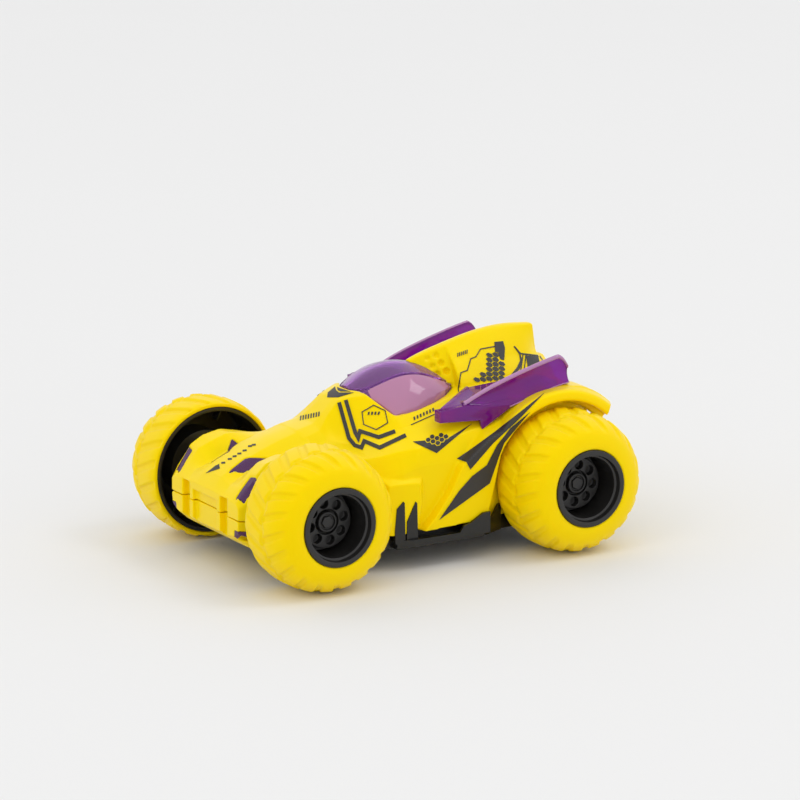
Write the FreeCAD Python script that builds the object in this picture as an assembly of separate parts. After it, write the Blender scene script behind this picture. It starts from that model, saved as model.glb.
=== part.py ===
"""Radio-controlled tumbling stunt car: four big paddle-tread wheels, a low moulded body with a clear
canopy, two clear side wings and a tall dorsal fin, and two geared motors that drive the rear wheels.

Frame: +X forward, +Y to the car's left, +Z up. The origin is on the ground, under the middle of the
car. Millimetres. Each node is written to parts/NODE.step.
"""

import FreeCAD
import Part
import math
import os

V = FreeCAD.Vector
X_AXIS, Y_AXIS, Z_AXIS = V(1, 0, 0), V(0, 1, 0), V(0, 0, 1)

# Driving dimensions
WHEELBASE = 120.0
WHEEL_R = 30.0
HUB_HOLES = 8
HUB_RING_R = 7.9
HUB_HOLE_R = 2.05
HUB_TURN = {"front": 34.5, "rear": 8.0}
SHAFT_R = 1.5
PRESS_GAP = 0.02
SCREW_CORE_R = 1.05
RUNNING_GAP = 0.05
WALL = 1.8
LENS_WALL = 1.6
FLOOR_Z = 9.0
PARTING_Z = 15.2
GEAR_MODULE = 0.6
GEAR_WIDTH = 2.4
OUTPUT_TEETH = 36
IDLER_BIG_TEETH = 36
IDLER_SMALL_TEETH = 12
PINION_TEETH = 10
MOTOR_R = 10.0
MOTOR_HALF_HEIGHT = 7.5
MOTOR_LENGTH = 23.4

# Places worked out from them
FRONT_X = WHEELBASE / 2
REAR_X = -WHEELBASE / 2
AXLE_Z = WHEEL_R
IDLER_X = REAR_X + GEAR_MODULE * (OUTPUT_TEETH + IDLER_SMALL_TEETH) / 2
MOTOR_X = IDLER_X + GEAR_MODULE * (IDLER_BIG_TEETH + PINION_TEETH) / 2
GEARBOX_INNER_Y = 24.8
GEARBOX_OUTER_Y = 33.2
PLATE = 1.5
BUSHING_FLANGE = 0.4
SIDES = {"left": 1, "right": -1}


# Small tools ---------------------------------------------------------------------------------

def box(x0, y0, z0, x1, y1, z1):
    """An upright box between two corners given in any order."""
    low = V(min(x0, x1), min(y0, y1), min(z0, z1))
    return Part.makeBox(abs(x1 - x0), abs(y1 - y0), abs(z1 - z0), low)


def rod_y(x, z, radius, y0, y1):
    """A round bar along Y."""
    return Part.makeCylinder(radius, abs(y1 - y0), V(x, min(y0, y1), z), Y_AXIS)


def post(x, y, radius, z0, z1):
    """A round bar along Z."""
    return Part.makeCylinder(radius, z1 - z0, V(x, y, z0), Z_AXIS)


def mirrored(shape):
    """The same shape on the other side of the car."""
    return shape.mirror(V(0, 0, 0), Y_AXIS)


def sided(shape, side):
    """A shape that was drawn for the left side, on the side asked for."""
    return shape if SIDES[side] > 0 else mirrored(shape)


def union(shapes):
    """One shape from several, joined in turn."""
    joined = shapes[0]
    for shape in shapes[1:]:
        joined = joined.fuse(shape)
    return joined.removeSplitter()


def without(shape, cuts):
    """The shape with each of the cuts taken away in turn."""
    for cut in cuts:
        shape = shape.cut(cut)
    return shape


def polygon_face(points):
    """The flat face inside a closed run of points."""
    return Part.Face(Part.makePolygon(points + points[:1]))


def prism_xz(outline, y0, y1):
    """Extrudes an outline of (x, z) points along Y."""
    face = polygon_face([V(x, y0, z) for x, z in outline])
    return face.extrude(V(0, y1 - y0, 0))


def prism_xy(outline, z0, z1):
    """Extrudes an outline of (x, y) points along Z."""
    face = polygon_face([V(x, y, z0) for x, y in outline])
    return face.extrude(V(0, 0, z1 - z0))


def turned_y(profile, x, z):
    """Turns a profile of (radius, y) points about the wheel axis through (x, z)."""
    face = polygon_face([V(x + r, y, z) for r, y in profile])
    return face.revolve(V(x, 0, z), Y_AXIS, 360)


def faceted(sections):
    """A closed solid through polygon sections that all have the same number of points."""
    faces = [polygon_face(sections[0]), polygon_face(sections[-1])]
    count = len(sections[0])
    for a, b in zip(sections, sections[1:]):
        for i in range(count):
            j = (i + 1) % count
            quad = [a[i], a[j], b[j], b[i]]
            normal = (quad[1] - quad[0]).cross(quad[2] - quad[0])
            flat = normal.Length > 0 and abs(normal.dot(quad[3] - quad[0])) / normal.Length < 1e-7
            for corners in [quad] if flat else [quad[:3], [quad[0], quad[2], quad[3]]]:
                if (corners[1] - corners[0]).cross(corners[2] - corners[0]).Length > 1e-9:
                    faces.append(polygon_face(corners))
    shell = Part.makeShell(faces)
    shell.sewShape()
    solid = Part.makeSolid(shell)
    if solid.Volume < 0:
        solid.reverse()
    return solid


def closed_section(x, half):
    """A whole section of the car from its left half, which runs from the top centre to the lower edge."""
    left = [V(x, y, z) for y, z in half]
    right = [V(x, -y, z) for y, z in reversed(half[1:])]
    return left + [V(x, 0, half[-1][1])] + right


def inset_half(half, wall, drop):
    """The half section a wall's thickness further in, with its lower edge dropped to leave it open."""
    moved = [(max(y - wall, 0.3) if y > 0 else 0.0, z - wall) for y, z in half]
    return moved[:-1] + [(moved[-1][0], half[-1][1] - drop)]


# Outer form of the car: x of each station, then its left half as (y, z) from the top centre -----

NOSE = [
    (46, [(0, 56.0), (8, 55.2), (14, 52.6), (21, 49.0), (27, 46.6), (34, 42.0), (34, 15.2)]),
    (56, [(0, 53.6), (8, 52.4), (15, 48.8), (21, 50.0), (27, 49.4), (34.5, 44.0), (34.5, 15.2)]),
    (64, [(0, 50.6), (8.5, 49.6), (15, 46.6), (21, 50.6), (27, 51.0), (34, 45.0), (34, 27.2)]),
    (72, [(0, 46.8), (8, 46.0), (14.5, 43.8), (20, 48.0), (27, 49.3), (33.5, 44.0), (33.5, 27.2)]),
    (77, [(0, 44.4), (8, 43.4), (15, 41.6), (22, 45.0), (29, 45.2), (33, 41.0), (33, 27.2)]),
    (82, [(0, 40.6), (7, 40.0), (15, 38.6), (22, 39.2), (28, 39.4), (32, 36.0), (32, 27.2)]),
    (86, [(0, 35.0), (7, 35.0), (15, 34.6), (22, 34.4), (27, 34.0), (29, 32.5), (29, 27.2)]),
]
HULL = [
    (-80, [(0, 62), (10, 62), (18, 61), (26, 60), (33, 58), (34, 42), (33, 24)]),
    (-72, [(0, 70), (10, 69), (20, 67), (28, 66), (37, 65), (37.5, 42), (37, 15.2)]),
    (-60, [(0, 70), (10, 70), (20, 68.5), (28, 65), (37.5, 63.5), (37.5, 42), (37, 15.2)]),
    (-45, [(0, 68), (8, 68), (20, 67), (28, 62), (37.5, 59.5), (37.5, 42), (37, 15.2)]),
    (-33, [(0, 67), (8, 67), (20, 66), (27, 61), (37.5, 55.5), (37.5, 42), (37, 15.2)]),
    (-26, [(0, 66), (8, 66), (19.5, 65.6), (26, 61), (37.5, 55), (40.5, 42), (40, 15.2)]),
    (-5, [(0, 61), (12, 61), (24, 61.2), (29.5, 58.6), (40, 51), (43, 42), (42, 15.2)]),
    (8, [(0, 61), (12, 61), (24.5, 60.2), (29, 57.2), (41, 51), (43, 42), (42, 15.2)]),
    (16, [(0, 70), (8, 69.6), (13.2, 67.8), (26.2, 54.6), (40, 49.8), (43, 41), (41.5, 15.2)]),
    (22, [(0, 68.6), (5, 68.2), (9.7, 67.0), (22.6, 51.4), (38, 48.4), (42, 40), (41, 15.2)]),
    (26.8, [(0, 66.4), (4, 66.3), (7.6, 65.8), (18.8, 49.6), (34.5, 47), (39, 40), (38, 15.2)]),
    (33, [(0, 61.0), (5, 61.0), (9.2, 60.2), (17.6, 50.8), (30, 46.8), (36, 40), (35, 15.2)]),
    (37.6, [(0, 57.6), (6, 57.4), (11.6, 55.6), (17.2, 51.8), (28, 47.2), (34, 41), (34, 15.2)]),
    (46.5, [(0, 56.0), (7, 55.6), (12.6, 53.2), (16, 51.4), (24, 47), (31, 41), (31, 15.2)]),
]
DORSAL = [
    (-76, [(0, 74), (3, 74), (9, 73), (13, 66), (15, 60)]),
    (-72.8, [(0, 82), (2.2, 81.6), (9, 74), (15, 68), (18, 60)]),
    (-70.5, [(0, 87), (2.2, 86.5), (9.5, 75), (16, 68.5), (20, 60)]),
    (-57, [(0, 87.8), (2.4, 87.2), (10.5, 76), (17, 68.5), (21, 60)]),
    (-43.7, [(0, 86.4), (2.4, 85.8), (11, 75), (17, 67.5), (21, 60)]),
    (-28, [(0, 82.6), (2.6, 81.8), (10, 74.5), (15, 68), (19, 60)]),
]
SPINE = [
    (-29, [(0, 82.8), (2.2, 82.0), (6.5, 74.5), (10, 68), (10, 66)]),
    (-18, [(0, 80.2), (2.0, 79.4), (5.5, 73.5), (8, 67), (8, 66)]),
    (-10.9, [(0, 77.6), (1.4, 76.8), (3, 73), (4, 68), (4, 66)]),
]
BUMPER = [
    (64, [(0, 27), (15, 27), (31, 27), (31, 19), (29, 11.5)]),
    (72, [(0, 27), (15, 27), (33, 27), (32, 19), (29, 12.0)]),
    (80, [(0, 27), (15, 27), (32, 27), (31, 20), (27, 14.4)]),
    (86, [(0, 27), (15, 27), (29, 27), (28.5, 22), (24, 19.5)]),
]
CANOPY = [
    (-27, [(0, 70), (9, 67), (12, 66), (14, 63.5)]),
    (-20, [(0, 74.5), (12, 70), (16, 67.5), (19.5, 63)]),
    (-12, [(0, 77.3), (12.5, 74), (18.5, 69.5), (23, 61.8)]),
    (-2, [(0, 78.7), (12.5, 75.5), (19.5, 69), (25, 60.3)]),
    (8, [(0, 75.6), (11.3, 72.6), (18.5, 66.6), (24.5, 59)]),
    (15, [(0, 71.8), (9.5, 69.3), (13, 66.8), (17, 62)]),
    (21, [(0, 69.2), (2, 69), (4, 68.4), (6, 66)]),
]
CANOPY_HOLE = [(19, 3), (15, 12), (8, 22.5), (-2, 23), (-12, 20.5), (-20, 16.5), (-26.5, 11)]
HOOD_LAMP = [(79.2, 7.8), (70.6, 6.6), (61.5, 14.5), (63, 18.5), (68, 13), (74, 12.5)]
UPPER_LAMP = [(78.0, 25.2), (84.6, 24.4), (83.6, 30.0), (77.4, 30.6)]
LOWER_LAMP = [(86.5, 22.5), (86.5, 29.5), (80, 31.5), (80, 24)]
PAN = [(64, 27), (58, 32), (38, 33), (27, 39.5), (-24, 39.5), (-32, 36), (-70, 35), (-78, 30)]
BATTERY_X = (-17.4, 33.4)
BATTERY_Z = 17.0
CELL_R = 7.0
CELL_Y = (-7.6, 7.6)
BAY_HALF_WIDTH = 15.4
BOARD_Z = 31.0
BOARD_POSTS = [(x, y) for x in (-11, 31) for y in (-17.2, 17.2)]
DOOR_X = (-23.0, 39.0)
DOOR_HALF_WIDTH = 18.0
RAIL_Z = 6.8
BODY_SCREWS = [(44.0, 24.0), (-71.0, 20.0)]
PILLAR_TOP = {"front": 46.5, "rear": 65.0}
SWITCH_X = -58.0
SWITCH_TRAVEL = 3.0


def car_solid(stations):
    """The solid through stations that are given as left halves, rear to front."""
    return faceted([closed_section(x, half) for x, half in stations])


def car_hollow(stations, wall, drop):
    """What is taken out of car_solid to leave a wall all round and an open underside."""
    inner = [(x, inset_half(half, wall, drop)) for x, half in stations]
    inner[0] = (inner[0][0] + wall, inner[0][1])
    inner[-1] = (inner[-1][0] - wall, inner[-1][1])
    return car_solid(inner)


def biggest(shape):
    """The largest of a shape's solids."""
    return max(shape.Solids, key=lambda solid: solid.Volume)


# Body ------------------------------------------------------------------------------------------

def arch_disc(radius, y0, y1, start, end):
    """A sector of a disc about the rear axle, between two angles in degrees from forward."""
    reach = 2 * radius
    rays = [math.radians(start + (end - start) * k / 3) for k in range(4)]
    wedge = [(REAR_X, AXLE_Z)] + [(REAR_X + reach * math.cos(a), AXLE_Z + reach * math.sin(a)) for a in rays]
    return rod_y(REAR_X, AXLE_Z, radius, y0, y1).common(prism_xz(wedge, y0 - 1, y1 + 1))


def blade_panel():
    """The raised side panel that sweeps from the sill up to the rear fender."""
    outer = [(2, 15.2), (-23.5, 17.0), (-28, 34), (-46, 34), (-46, 60),
             (-24, 50.5), (-20.5, 41), (-13, 31), (-5, 21)]
    inner = [(4, 15.2), (-23.5, 15.2), (-28, 34), (-58, 34), (-58, 64),
             (-24, 54), (-18.5, 41), (-11, 31), (-3, 21)]
    return faceted([[V(x, 36.6, z) for x, z in inner], [V(x, 45.0, z) for x, z in outer]])


def upper_body_shell():
    """The moulded upper body: an open-bottomed skin with the wheel arches, windows and screw pillars."""
    side = [blade_panel(), arch_disc(36.8, 29.3, 45.3, 36, 132), arch_disc(37.6, 43.4, 46, 40, 133)]
    outer = union([car_solid(HULL), car_solid(NOSE), car_solid(DORSAL)]
                  + side + [mirrored(piece) for piece in side])
    cuts = [car_hollow(HULL, WALL, 1.0), car_hollow(NOSE, WALL, 1.0), car_hollow(DORSAL, WALL, 4.0)]
    wheel_space = rod_y(REAR_X, AXLE_Z, 33.6, 38.4, 43.6).fuse(rod_y(REAR_X, AXLE_Z, 32.6, 43.0, 60))
    cuts += [wheel_space, mirrored(wheel_space)]
    cuts += [rod_y(x, AXLE_Z, 3.2, -50, 50) for x in (FRONT_X, REAR_X)]
    hole = [V(x, y, 55) for x, y in CANOPY_HOLE] + [V(x, -y, 55) for x, y in reversed(CANOPY_HOLE)]
    cuts.append(polygon_face(hole).extrude(V(0, 0, 30)))
    for outline, z0, z1 in ((HOOD_LAMP, 40, 56), (UPPER_LAMP, 33, 52)):
        window = prism_xy(outline, z0, z1)
        cuts += [window, mirrored(window)]
    shell = without(outer, cuts)
    places = [(x, s * y) for x, y in BODY_SCREWS for s in (1, -1)]
    pillars = [post(x, y, 3.0, FLOOR_Z + WALL, PILLAR_TOP["front" if x > 0 else "rear"]) for x, y in places]
    whole = union([shell, car_solid(SPINE)] + pillars)
    return without(whole, [post(x, y, SCREW_CORE_R, FLOOR_Z, 24) for x, y in places])


def front_bumper():
    """The lower nose: a hollow chin with a recessed grille, open behind, on two feet over the pan."""
    outer = car_solid(BUMPER)
    inner = []
    for x, half in BUMPER:
        back = 1.0 if x == BUMPER[0][0] else 0.0
        front = WALL if x == BUMPER[-1][0] else 0.0
        inner.append((x - back - front, [(max(y - WALL, 0) if y else 0.0, z - WALL) for y, z in half[:3]]
                      + [(half[3][0] - WALL, half[3][1]), (half[4][0] - WALL, half[4][1] + WALL)]))
    grille = box(84.6, -14, 20.2, 90, 14, 25.0)
    chin = without(outer, [car_solid(inner), grille])
    feet = [box(57, s * 12, FLOOR_Z + WALL, 66, s * 18, 13.2) for s in (1, -1)]
    window = prism_xy(LOWER_LAMP, 20.5, 25.5)
    return without(union([chin] + feet), [window, mirrored(window)])


def thin_lens(outline, z0, z1, stations, lift):
    """A lens that fills a window: the body's skin there, lifted a little, cut to the outline."""
    raised = [(x, [(y, z + lift) for y, z in half]) for x, half in stations]
    skin = car_solid(raised).cut(car_solid([(x, [(y, z - 2.4) for y, z in h]) for x, h in raised]))
    return skin.common(prism_xy(outline, z0, z1))


def shrunk(outline, gap):
    """The outline moved towards its middle by about a gap's width."""
    cx = sum(x for x, _ in outline) / len(outline)
    cy = sum(y for _, y in outline) / len(outline)
    out = []
    for x, y in outline:
        reach = math.hypot(x - cx, y - cy)
        k = 1 - gap / reach
        out.append((cx + (x - cx) * k, cy + (y - cy) * k))
    return out


def lamp_pair(outline, z0, z1, lift, shell):
    """The left and right lens of one kind, clear of the shell."""
    lens = biggest(thin_lens(shrunk(outline, 0.3), z0, z1, NOSE, lift).cut(shell))
    return [lens, mirrored(lens)]


def corner_lamp_lenses(shell):
    """The lamps round the corners of the nose: an upper lens in the shell and a lower one in the chin."""
    block = prism_xy(shrunk(LOWER_LAMP, 0.3), 20.8, 25.2).common(car_solid(BUMPER))
    lower = biggest(block.cut(box(60, 20, 10, 82.5, 29.4, 30)))
    return Part.makeCompound(lamp_pair(UPPER_LAMP, 33, 52, 0.2, shell) + [lower, mirrored(lower)])


def hood_lamp_lenses(shell):
    """The two slanted lamps on top of the nose."""
    return Part.makeCompound(lamp_pair(HOOD_LAMP, 40, 56, 0.4, shell))


def canopy(shell):
    """The clear bubble over the cockpit: an even wall, open underneath."""
    inner = [(x, [(max(y - LENS_WALL, 0) if y else 0.0, z - LENS_WALL) for y, z in half[:-1]]
              + [(half[-1][0] - LENS_WALL, half[-1][1] - 6)]) for x, half in CANOPY]
    inner[0] = (inner[0][0] + LENS_WALL, inner[0][1])
    inner[-1] = (inner[-1][0] - LENS_WALL, inner[-1][1])
    bubble = without(car_solid(CANOPY), [car_solid(inner), box(-40, -40, 40, 40, 40, 58.6)])
    return biggest(bubble.cut(shell))


def cockpit_tub(shell, bubble):
    """The dark seat tray under the canopy, its rim up against the body."""
    rim = [(x, y + 1.8) for x, y in CANOPY_HOLE] + [(x, -y - 1.8) for x, y in reversed(CANOPY_HOLE)]
    hollow = [(x * 0.92, y * 0.92) for x, y in rim]
    tray = prism_xy(rim, 49.0, 64.0).cut(prism_xy(hollow, 50.6, 70.0))
    seats = [box(-19, y - 5, 50, -10, y + 5, 56.5) for y in (-7.5, 7.5)]
    dash = box(8, -10, 50, 11, 10, 57)
    return biggest(without(union([tray, dash] + seats), [shell, bubble]))


WING_RAIL = [(-17, 65.4), (-28, 70.9), (-38, 74.2), (-47.8, 77.0), (-57.3, 79.5), (-63, 80.7), (-67.4, 76.0)]
WING_LIP = [63.2, 62.2, 61.4, 64.2, 66.8, 68.2, 68.8]
WING_WALL = [(-2, 59.4), (-1.8, 64.8), (-17, 65.2), (-38, 62.0), (-38, 61.2), (-24.8, 53.8), (-23.9, 57.8)]
WING_FLOOR = [(-4, 36.5, 63.6, 63.8), (-28, 20.0, 63.2, 66.0), (-45, 20.5, 64.2, 67.2), (-62, 21.5, 68.0, 68.6)]
WING_THICK = 1.4


def wing(shell):
    """The left clear side wing: a hollowed panel with a top rail, an outer wall and a scoop's floor."""
    sections = []
    for (x, top), lip in zip(WING_RAIL, WING_LIP):
        mid = (top + lip) / 2
        sections.append([V(x, 37.8, top), V(x, 35.8, mid), V(x, 38.5, lip),
                         V(x, 36.9, lip - 0.8), V(x, 34.2, mid - 0.2), V(x, 35.6, top)])
    panel = faceted(sections)
    round_rail = ((35.8, 0.4), (38.0, 0.4), (38.6, -0.8), (37.6, -2.0), (35.4, -1.0))
    rail = faceted([[V(x, y, top + dz) for y, dz in round_rail] for x, top in WING_RAIL[1:]])
    wall = prism_xz(WING_WALL, 38.5 - WING_THICK, 38.5)
    block = box(-5, 34, 59.4, -2, 38.5, 64.8)
    floor = faceted([[V(x, 37.4, z_out), V(x, 37.4, z_out + WING_THICK),
                      V(x, y_in, z_in + WING_THICK), V(x, y_in, z_in)] for x, y_in, z_out, z_in in WING_FLOOR])
    corners = ((0, -1.1), (1.1, 0), (0, 1.1), (-1.1, 0))
    ends = ((-3, 37.2, 64.4), (-28, 20.5, 67.0))
    bar = faceted([[V(x, y + dy, z + dz) for dy, dz in corners] for x, y, z in ends])
    return biggest(union([panel, rail, wall, block, floor, bar]).cut(shell))


# Chassis ---------------------------------------------------------------------------------------

def plan(inset=0.0):
    """The pan's outline from above, moved in by the inset."""
    half = [(x + (-inset if x > 60 else inset if x < -75 else 0), y - inset) for x, y in PAN]
    return half + [(x, -y) for x, y in reversed(half)]


def chassis_pan():
    """The tray underneath: floor, low wall, axle towers, battery bay, board posts and door rails."""
    floor_top = FLOOR_Z + WALL
    tray = prism_xy(plan(), FLOOR_Z, PARTING_Z - 0.2).cut(prism_xy(plan(WALL), floor_top, 40))
    x0, x1 = BATTERY_X
    add = [box(FRONT_X - 3.5, s * 23.0, FLOOR_Z, FRONT_X + 2.5, s * 27.0, AXLE_Z + 4.5) for s in (1, -1)]
    bay_outer = BAY_HALF_WIDTH + 1.2
    add += [box(x0 - 2, s * BAY_HALF_WIDTH, floor_top, x1 + 2, s * bay_outer, 22.5) for s in (1, -1)]
    add += [box(x, -BAY_HALF_WIDTH, floor_top, x + 1.4, BAY_HALF_WIDTH, 20) for x in (x0 - 2, x1 + 0.6)]
    for x, y in BOARD_POSTS:
        add.append(post(x, y, 2.0, floor_top, BOARD_Z))
        add.append(post(x, y, 1.2, BOARD_Z, BOARD_Z + 2.0))
    door_x0, door_x1 = DOOR_X
    rail_x1 = door_x1 + 1.8
    half = DOOR_HALF_WIDTH
    for s in (1, -1):
        rail = box(door_x0, s * (half + 0.3), RAIL_Z, rail_x1, s * (half + 2), FLOOR_Z)
        lip = box(door_x0, s * (half - 1.2), RAIL_Z, rail_x1, s * (half + 0.6), RAIL_Z + 0.8)
        add += [rail, lip]
    add.append(box(door_x1 + 0.3, -half - 1, RAIL_Z, rail_x1, half + 1, FLOOR_Z))
    pan = union([tray] + add)
    cuts = [box(x0 - 0.6, -BAY_HALF_WIDTH, 0, x1 + 0.6, BAY_HALF_WIDTH, floor_top)]
    cuts += [post(x, s * y, 1.3, 0, 20) for x, y in BODY_SCREWS for s in (1, -1)]
    cuts.append(box(SWITCH_X - 2.2 - SWITCH_TRAVEL, -2.2, 0, SWITCH_X + 2.2, 2.2, 20))
    cuts.append(box(60, -19, floor_top, 70, 19, 40))
    cuts.append(rod_y(FRONT_X, AXLE_Z, SHAFT_R, -40, 40))
    return without(pan, cuts)


def side_skirt():
    """The left running board: a sill that rises to a plate behind, and two upright blades in front."""
    plan_view = prism_xy([(21.4, 43.6), (13, 46.6), (-24, 46.4), (-24, 39.5), (21.4, 39.5)], FLOOR_Z, 21)
    foot = box(-23, 39.5, FLOOR_Z, 19, 43.0, 13.2)
    sill = prism_xz([(21.2, 12.8), (14.8, 11.2), (9.8, 10.0), (-24, 11.4), (-24, 13.2), (21.2, 13.2)], 41, 47)
    plate = prism_xz([(-8.9, 12.6), (-11.2, 15.9), (-14.4, 16.6), (-20.6, 20.1), (-24, 20.3), (-24, 12.6)],
                     45.2, 47)
    kick = prism_xy([(-23.6, 41.9), (-23.6, 43.4), (-33.6, 39.2), (-33.6, 37.8), (-32.6, 37.8), (-26.0, 41.9)],
                    9.6, 21.0)
    kick = kick.cut(prism_xz([(-23, 13.0), (-23, 30), (-40, 30), (-40, 21.0), (-32, 20.6)], 30, 50))
    tall = [(16.2, 12), (16.6, 29.2), (17.2, 29.8), (20.2, 27.1), (21.2, 17.3), (21.0, 12)]
    short = [(10.2, 12), (10.6, 28.3), (11.3, 29.0), (15.4, 20.9), (15.6, 12)]
    blades = [prism_xz(outline, 43.4, 45.0) for outline in (tall, short)]
    return union([foot, sill.common(plan_view), plate.common(plan_view), kick] + blades)


def battery_door():
    """The cover under the cells: a plate held by its edges in the pan's rails, with thumb ridges."""
    x0, x1 = DOOR_X[0], DOOR_X[1]
    plate = box(x0, -DOOR_HALF_WIDTH, RAIL_Z + 1.0, x1, DOOR_HALF_WIDTH, FLOOR_Z - 0.2)
    ridges = [box(x, -8, RAIL_Z + 0.3, x + 1.0, 8, RAIL_Z + 1.2) for x in (26, 29, 32, 35)]
    return union([plate] + ridges)


def pan_screw(x, y, shank_top, head_z, shank_r=1.0):
    """A pan-head screw that points up, its head under head_z, with a cross recess."""
    head = post(x, y, 2.2, head_z - 1.4, head_z)
    recess = box(x - 1.3, y - 0.3, head_z - 2, x + 1.3, y + 0.3, head_z - 0.8).fuse(
        box(x - 0.3, y - 1.3, head_z - 2, x + 0.3, y + 1.3, head_z - 0.8))
    return head.fuse(post(x, y, shank_r, head_z, shank_top)).cut(recess).removeSplitter()


# Electrics -------------------------------------------------------------------------------------

def battery_cells():
    """Two AA-size cells side by side, facing opposite ways, with their raised contacts."""
    x0, x1 = BATTERY_X[0] + 0.8, BATTERY_X[1] - 0.8
    cells = []
    for y, flip in zip(CELL_Y, (False, True)):
        can = Part.makeCylinder(CELL_R, x1 - x0 - 1.2, V(x0 + (1.2 if flip else 0), y, BATTERY_Z), X_AXIS)
        tip = Part.makeCylinder(2.7, 1.2, V(x0 if flip else x1 - 1.2, y, BATTERY_Z), X_AXIS)
        cells.append(can.fuse(tip).removeSplitter())
    return Part.makeCompound(cells)


def battery_contacts():
    """Four bent spring-metal plates, one at each end of each cell, with a dimple towards the cell."""
    plates = []
    for x, dimple_x in ((BATTERY_X[0] - 0.6, (0, 1.4)), (BATTERY_X[1] + 0.2, (-1.0, 0.4))):
        for y in CELL_Y:
            plate = box(x, y - 5, 12, x + 0.4, y + 5, 20)
            dimple = box(x + dimple_x[0], y - 1.5, BATTERY_Z - 1.5, x + dimple_x[1], y + 1.5, BATTERY_Z + 1.5)
            plates.append(plate.fuse(dimple).removeSplitter())
    return Part.makeCompound(plates)


def circuit_board():
    """The control board, which drops over the pan's four posts."""
    board = box(-14, -19.4, BOARD_Z, 34, 19.4, BOARD_Z + 1.2)
    return board.cut([post(x, y, 1.3, 30, 34) for x, y in BOARD_POSTS])


def board_components():
    """The control chip, two motor drivers, the crystal and two capacitors."""
    chip = box(4, -6, 32.2, 12, 6, 34.0)
    driver = [box(-9, y - 3, 32.2, -2, y + 3, 33.8) for y in (-9, 9)]
    crystal = box(17, -3, 32.2, 21, 3, 35.0)
    capacitors = [post(26, y, 2.5, 32.2, 39.0) for y in (-8, 8)]
    return Part.makeCompound([chip, crystal] + driver + capacitors)


def antenna():
    """A short stub aerial on a base that is soldered to the board."""
    return post(27, 0, 2.2, 32.2, 34.0).fuse(post(27, 0, 0.9, 34.0, 47.0)).removeSplitter()


def power_switch_body():
    """The frame of the slide switch, inside the pan."""
    top = FLOOR_Z + WALL
    frame = box(SWITCH_X - 9, -4, top, SWITCH_X + 6, 4, top + 5)
    return frame.cut(box(SWITCH_X - 6.2, -2.4, top - 1, SWITCH_X + 3.2, 2.4, top + 3))


def power_switch_slider():
    """The switch's knob, through the slot in the pan, with a foot that keeps it in."""
    knob = box(SWITCH_X - 1.8, -1.8, FLOOR_Z - 1.2, SWITCH_X + 1.8, 1.8, FLOOR_Z + WALL + 0.2)
    grip = [box(SWITCH_X + dx - 0.3, -1.9, FLOOR_Z - 1.3, SWITCH_X + dx + 0.3, 1.9, FLOOR_Z - 0.7)
            for dx in (-1.0, 0.6)]
    foot = box(SWITCH_X - 2.6, -2.0, FLOOR_Z + WALL + 0.1, SWITCH_X + 2.6, 2.0, FLOOR_Z + WALL + 2.6)
    return union([knob.cut(grip), foot])


# Wheels ----------------------------------------------------------------------------------------

def tyre(x):
    """The left tyre: a ring over the rim's drum and a full outer side wall."""
    profile = [(27.0, 39.8), (28.2, 39.6), (29.2, 40.8), (29.8, 43.2), (30.0, 46.5), (30.0, 52.0),
               (29.7, 56.0), (29.1, 59.2), (27.8, 62.4), (25.8, 65.0), (23.0, 66.8), (20.0, 67.5),
               (16.6, 67.3), (16.6, 64.9), (22.6, 64.0), (25.0, 62.6), (26.2, 61.2), (27.0, 59.4)]
    return turned_y(profile, x, AXLE_Z)


def rim(x, bore_r):
    """The left rim: a drum, a sloping web, a deep dish with its floor, and the hub sleeve."""
    profile = [(bore_r, 41.0), (4.0, 41.0), (4.4, 49.4), (15.0, 49.4), (15.0, 61.0), (25.3, 58.4),
               (25.3, 39.6), (26.9, 39.6), (26.9, 59.2), (26.0, 61.0), (24.8, 62.3), (22.4, 63.7),
               (16.4, 64.6), (16.4, 67.9), (13.5, 67.9), (13.2, 51.0), (bore_r, 51.0)]
    body = turned_y(profile, x, AXLE_Z)
    groove = turned_y([(13.0, 65.2), (14.3, 65.2), (14.3, 66.0), (13.0, 66.0)], x, AXLE_Z)
    ribs = []
    for k in range(6):
        rib = box(x + 14.6, 54.0, AXLE_Z - 0.6, x + 25.6, 58.8, AXLE_Z + 0.6)
        ribs.append(rib.rotate(V(x, 0, AXLE_Z), Y_AXIS, 60 * k))
    return union([body.cut(groove)] + ribs)


def hub_cap(x, turn):
    """The left hub cap: eight blind holes round a sunk ring with a hexagon, over room for the axle's end."""
    profile = [(3.7, 51.0), (11.2, 51.0), (11.2, 56.2), (10.8, 56.6), (5.4, 56.6), (5.4, 54.8), (4.5, 54.8),
               (4.4, 57.2), (3.4, 57.2), (3.4, 56.2), (0, 56.2), (0, 53.8), (3.7, 53.8)]
    cap = turned_y(profile, x, AXLE_Z)
    holes = []
    for k in range(HUB_HOLES):
        a = math.radians(360 * k / HUB_HOLES + turn)
        hole_x, hole_z = x + HUB_RING_R * math.cos(a), AXLE_Z + HUB_RING_R * math.sin(a)
        holes.append(rod_y(hole_x, hole_z, HUB_HOLE_R, 53.6, 60))
    corners = [math.radians(60 * k + 20 + turn) for k in range(6)]
    nut = prism_xz([(x + 2.7 * math.cos(a), AXLE_Z + 2.7 * math.sin(a)) for a in corners], 56.2, 57.3)
    return union([cap.cut(holes), nut])


# Drive -----------------------------------------------------------------------------------------

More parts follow.
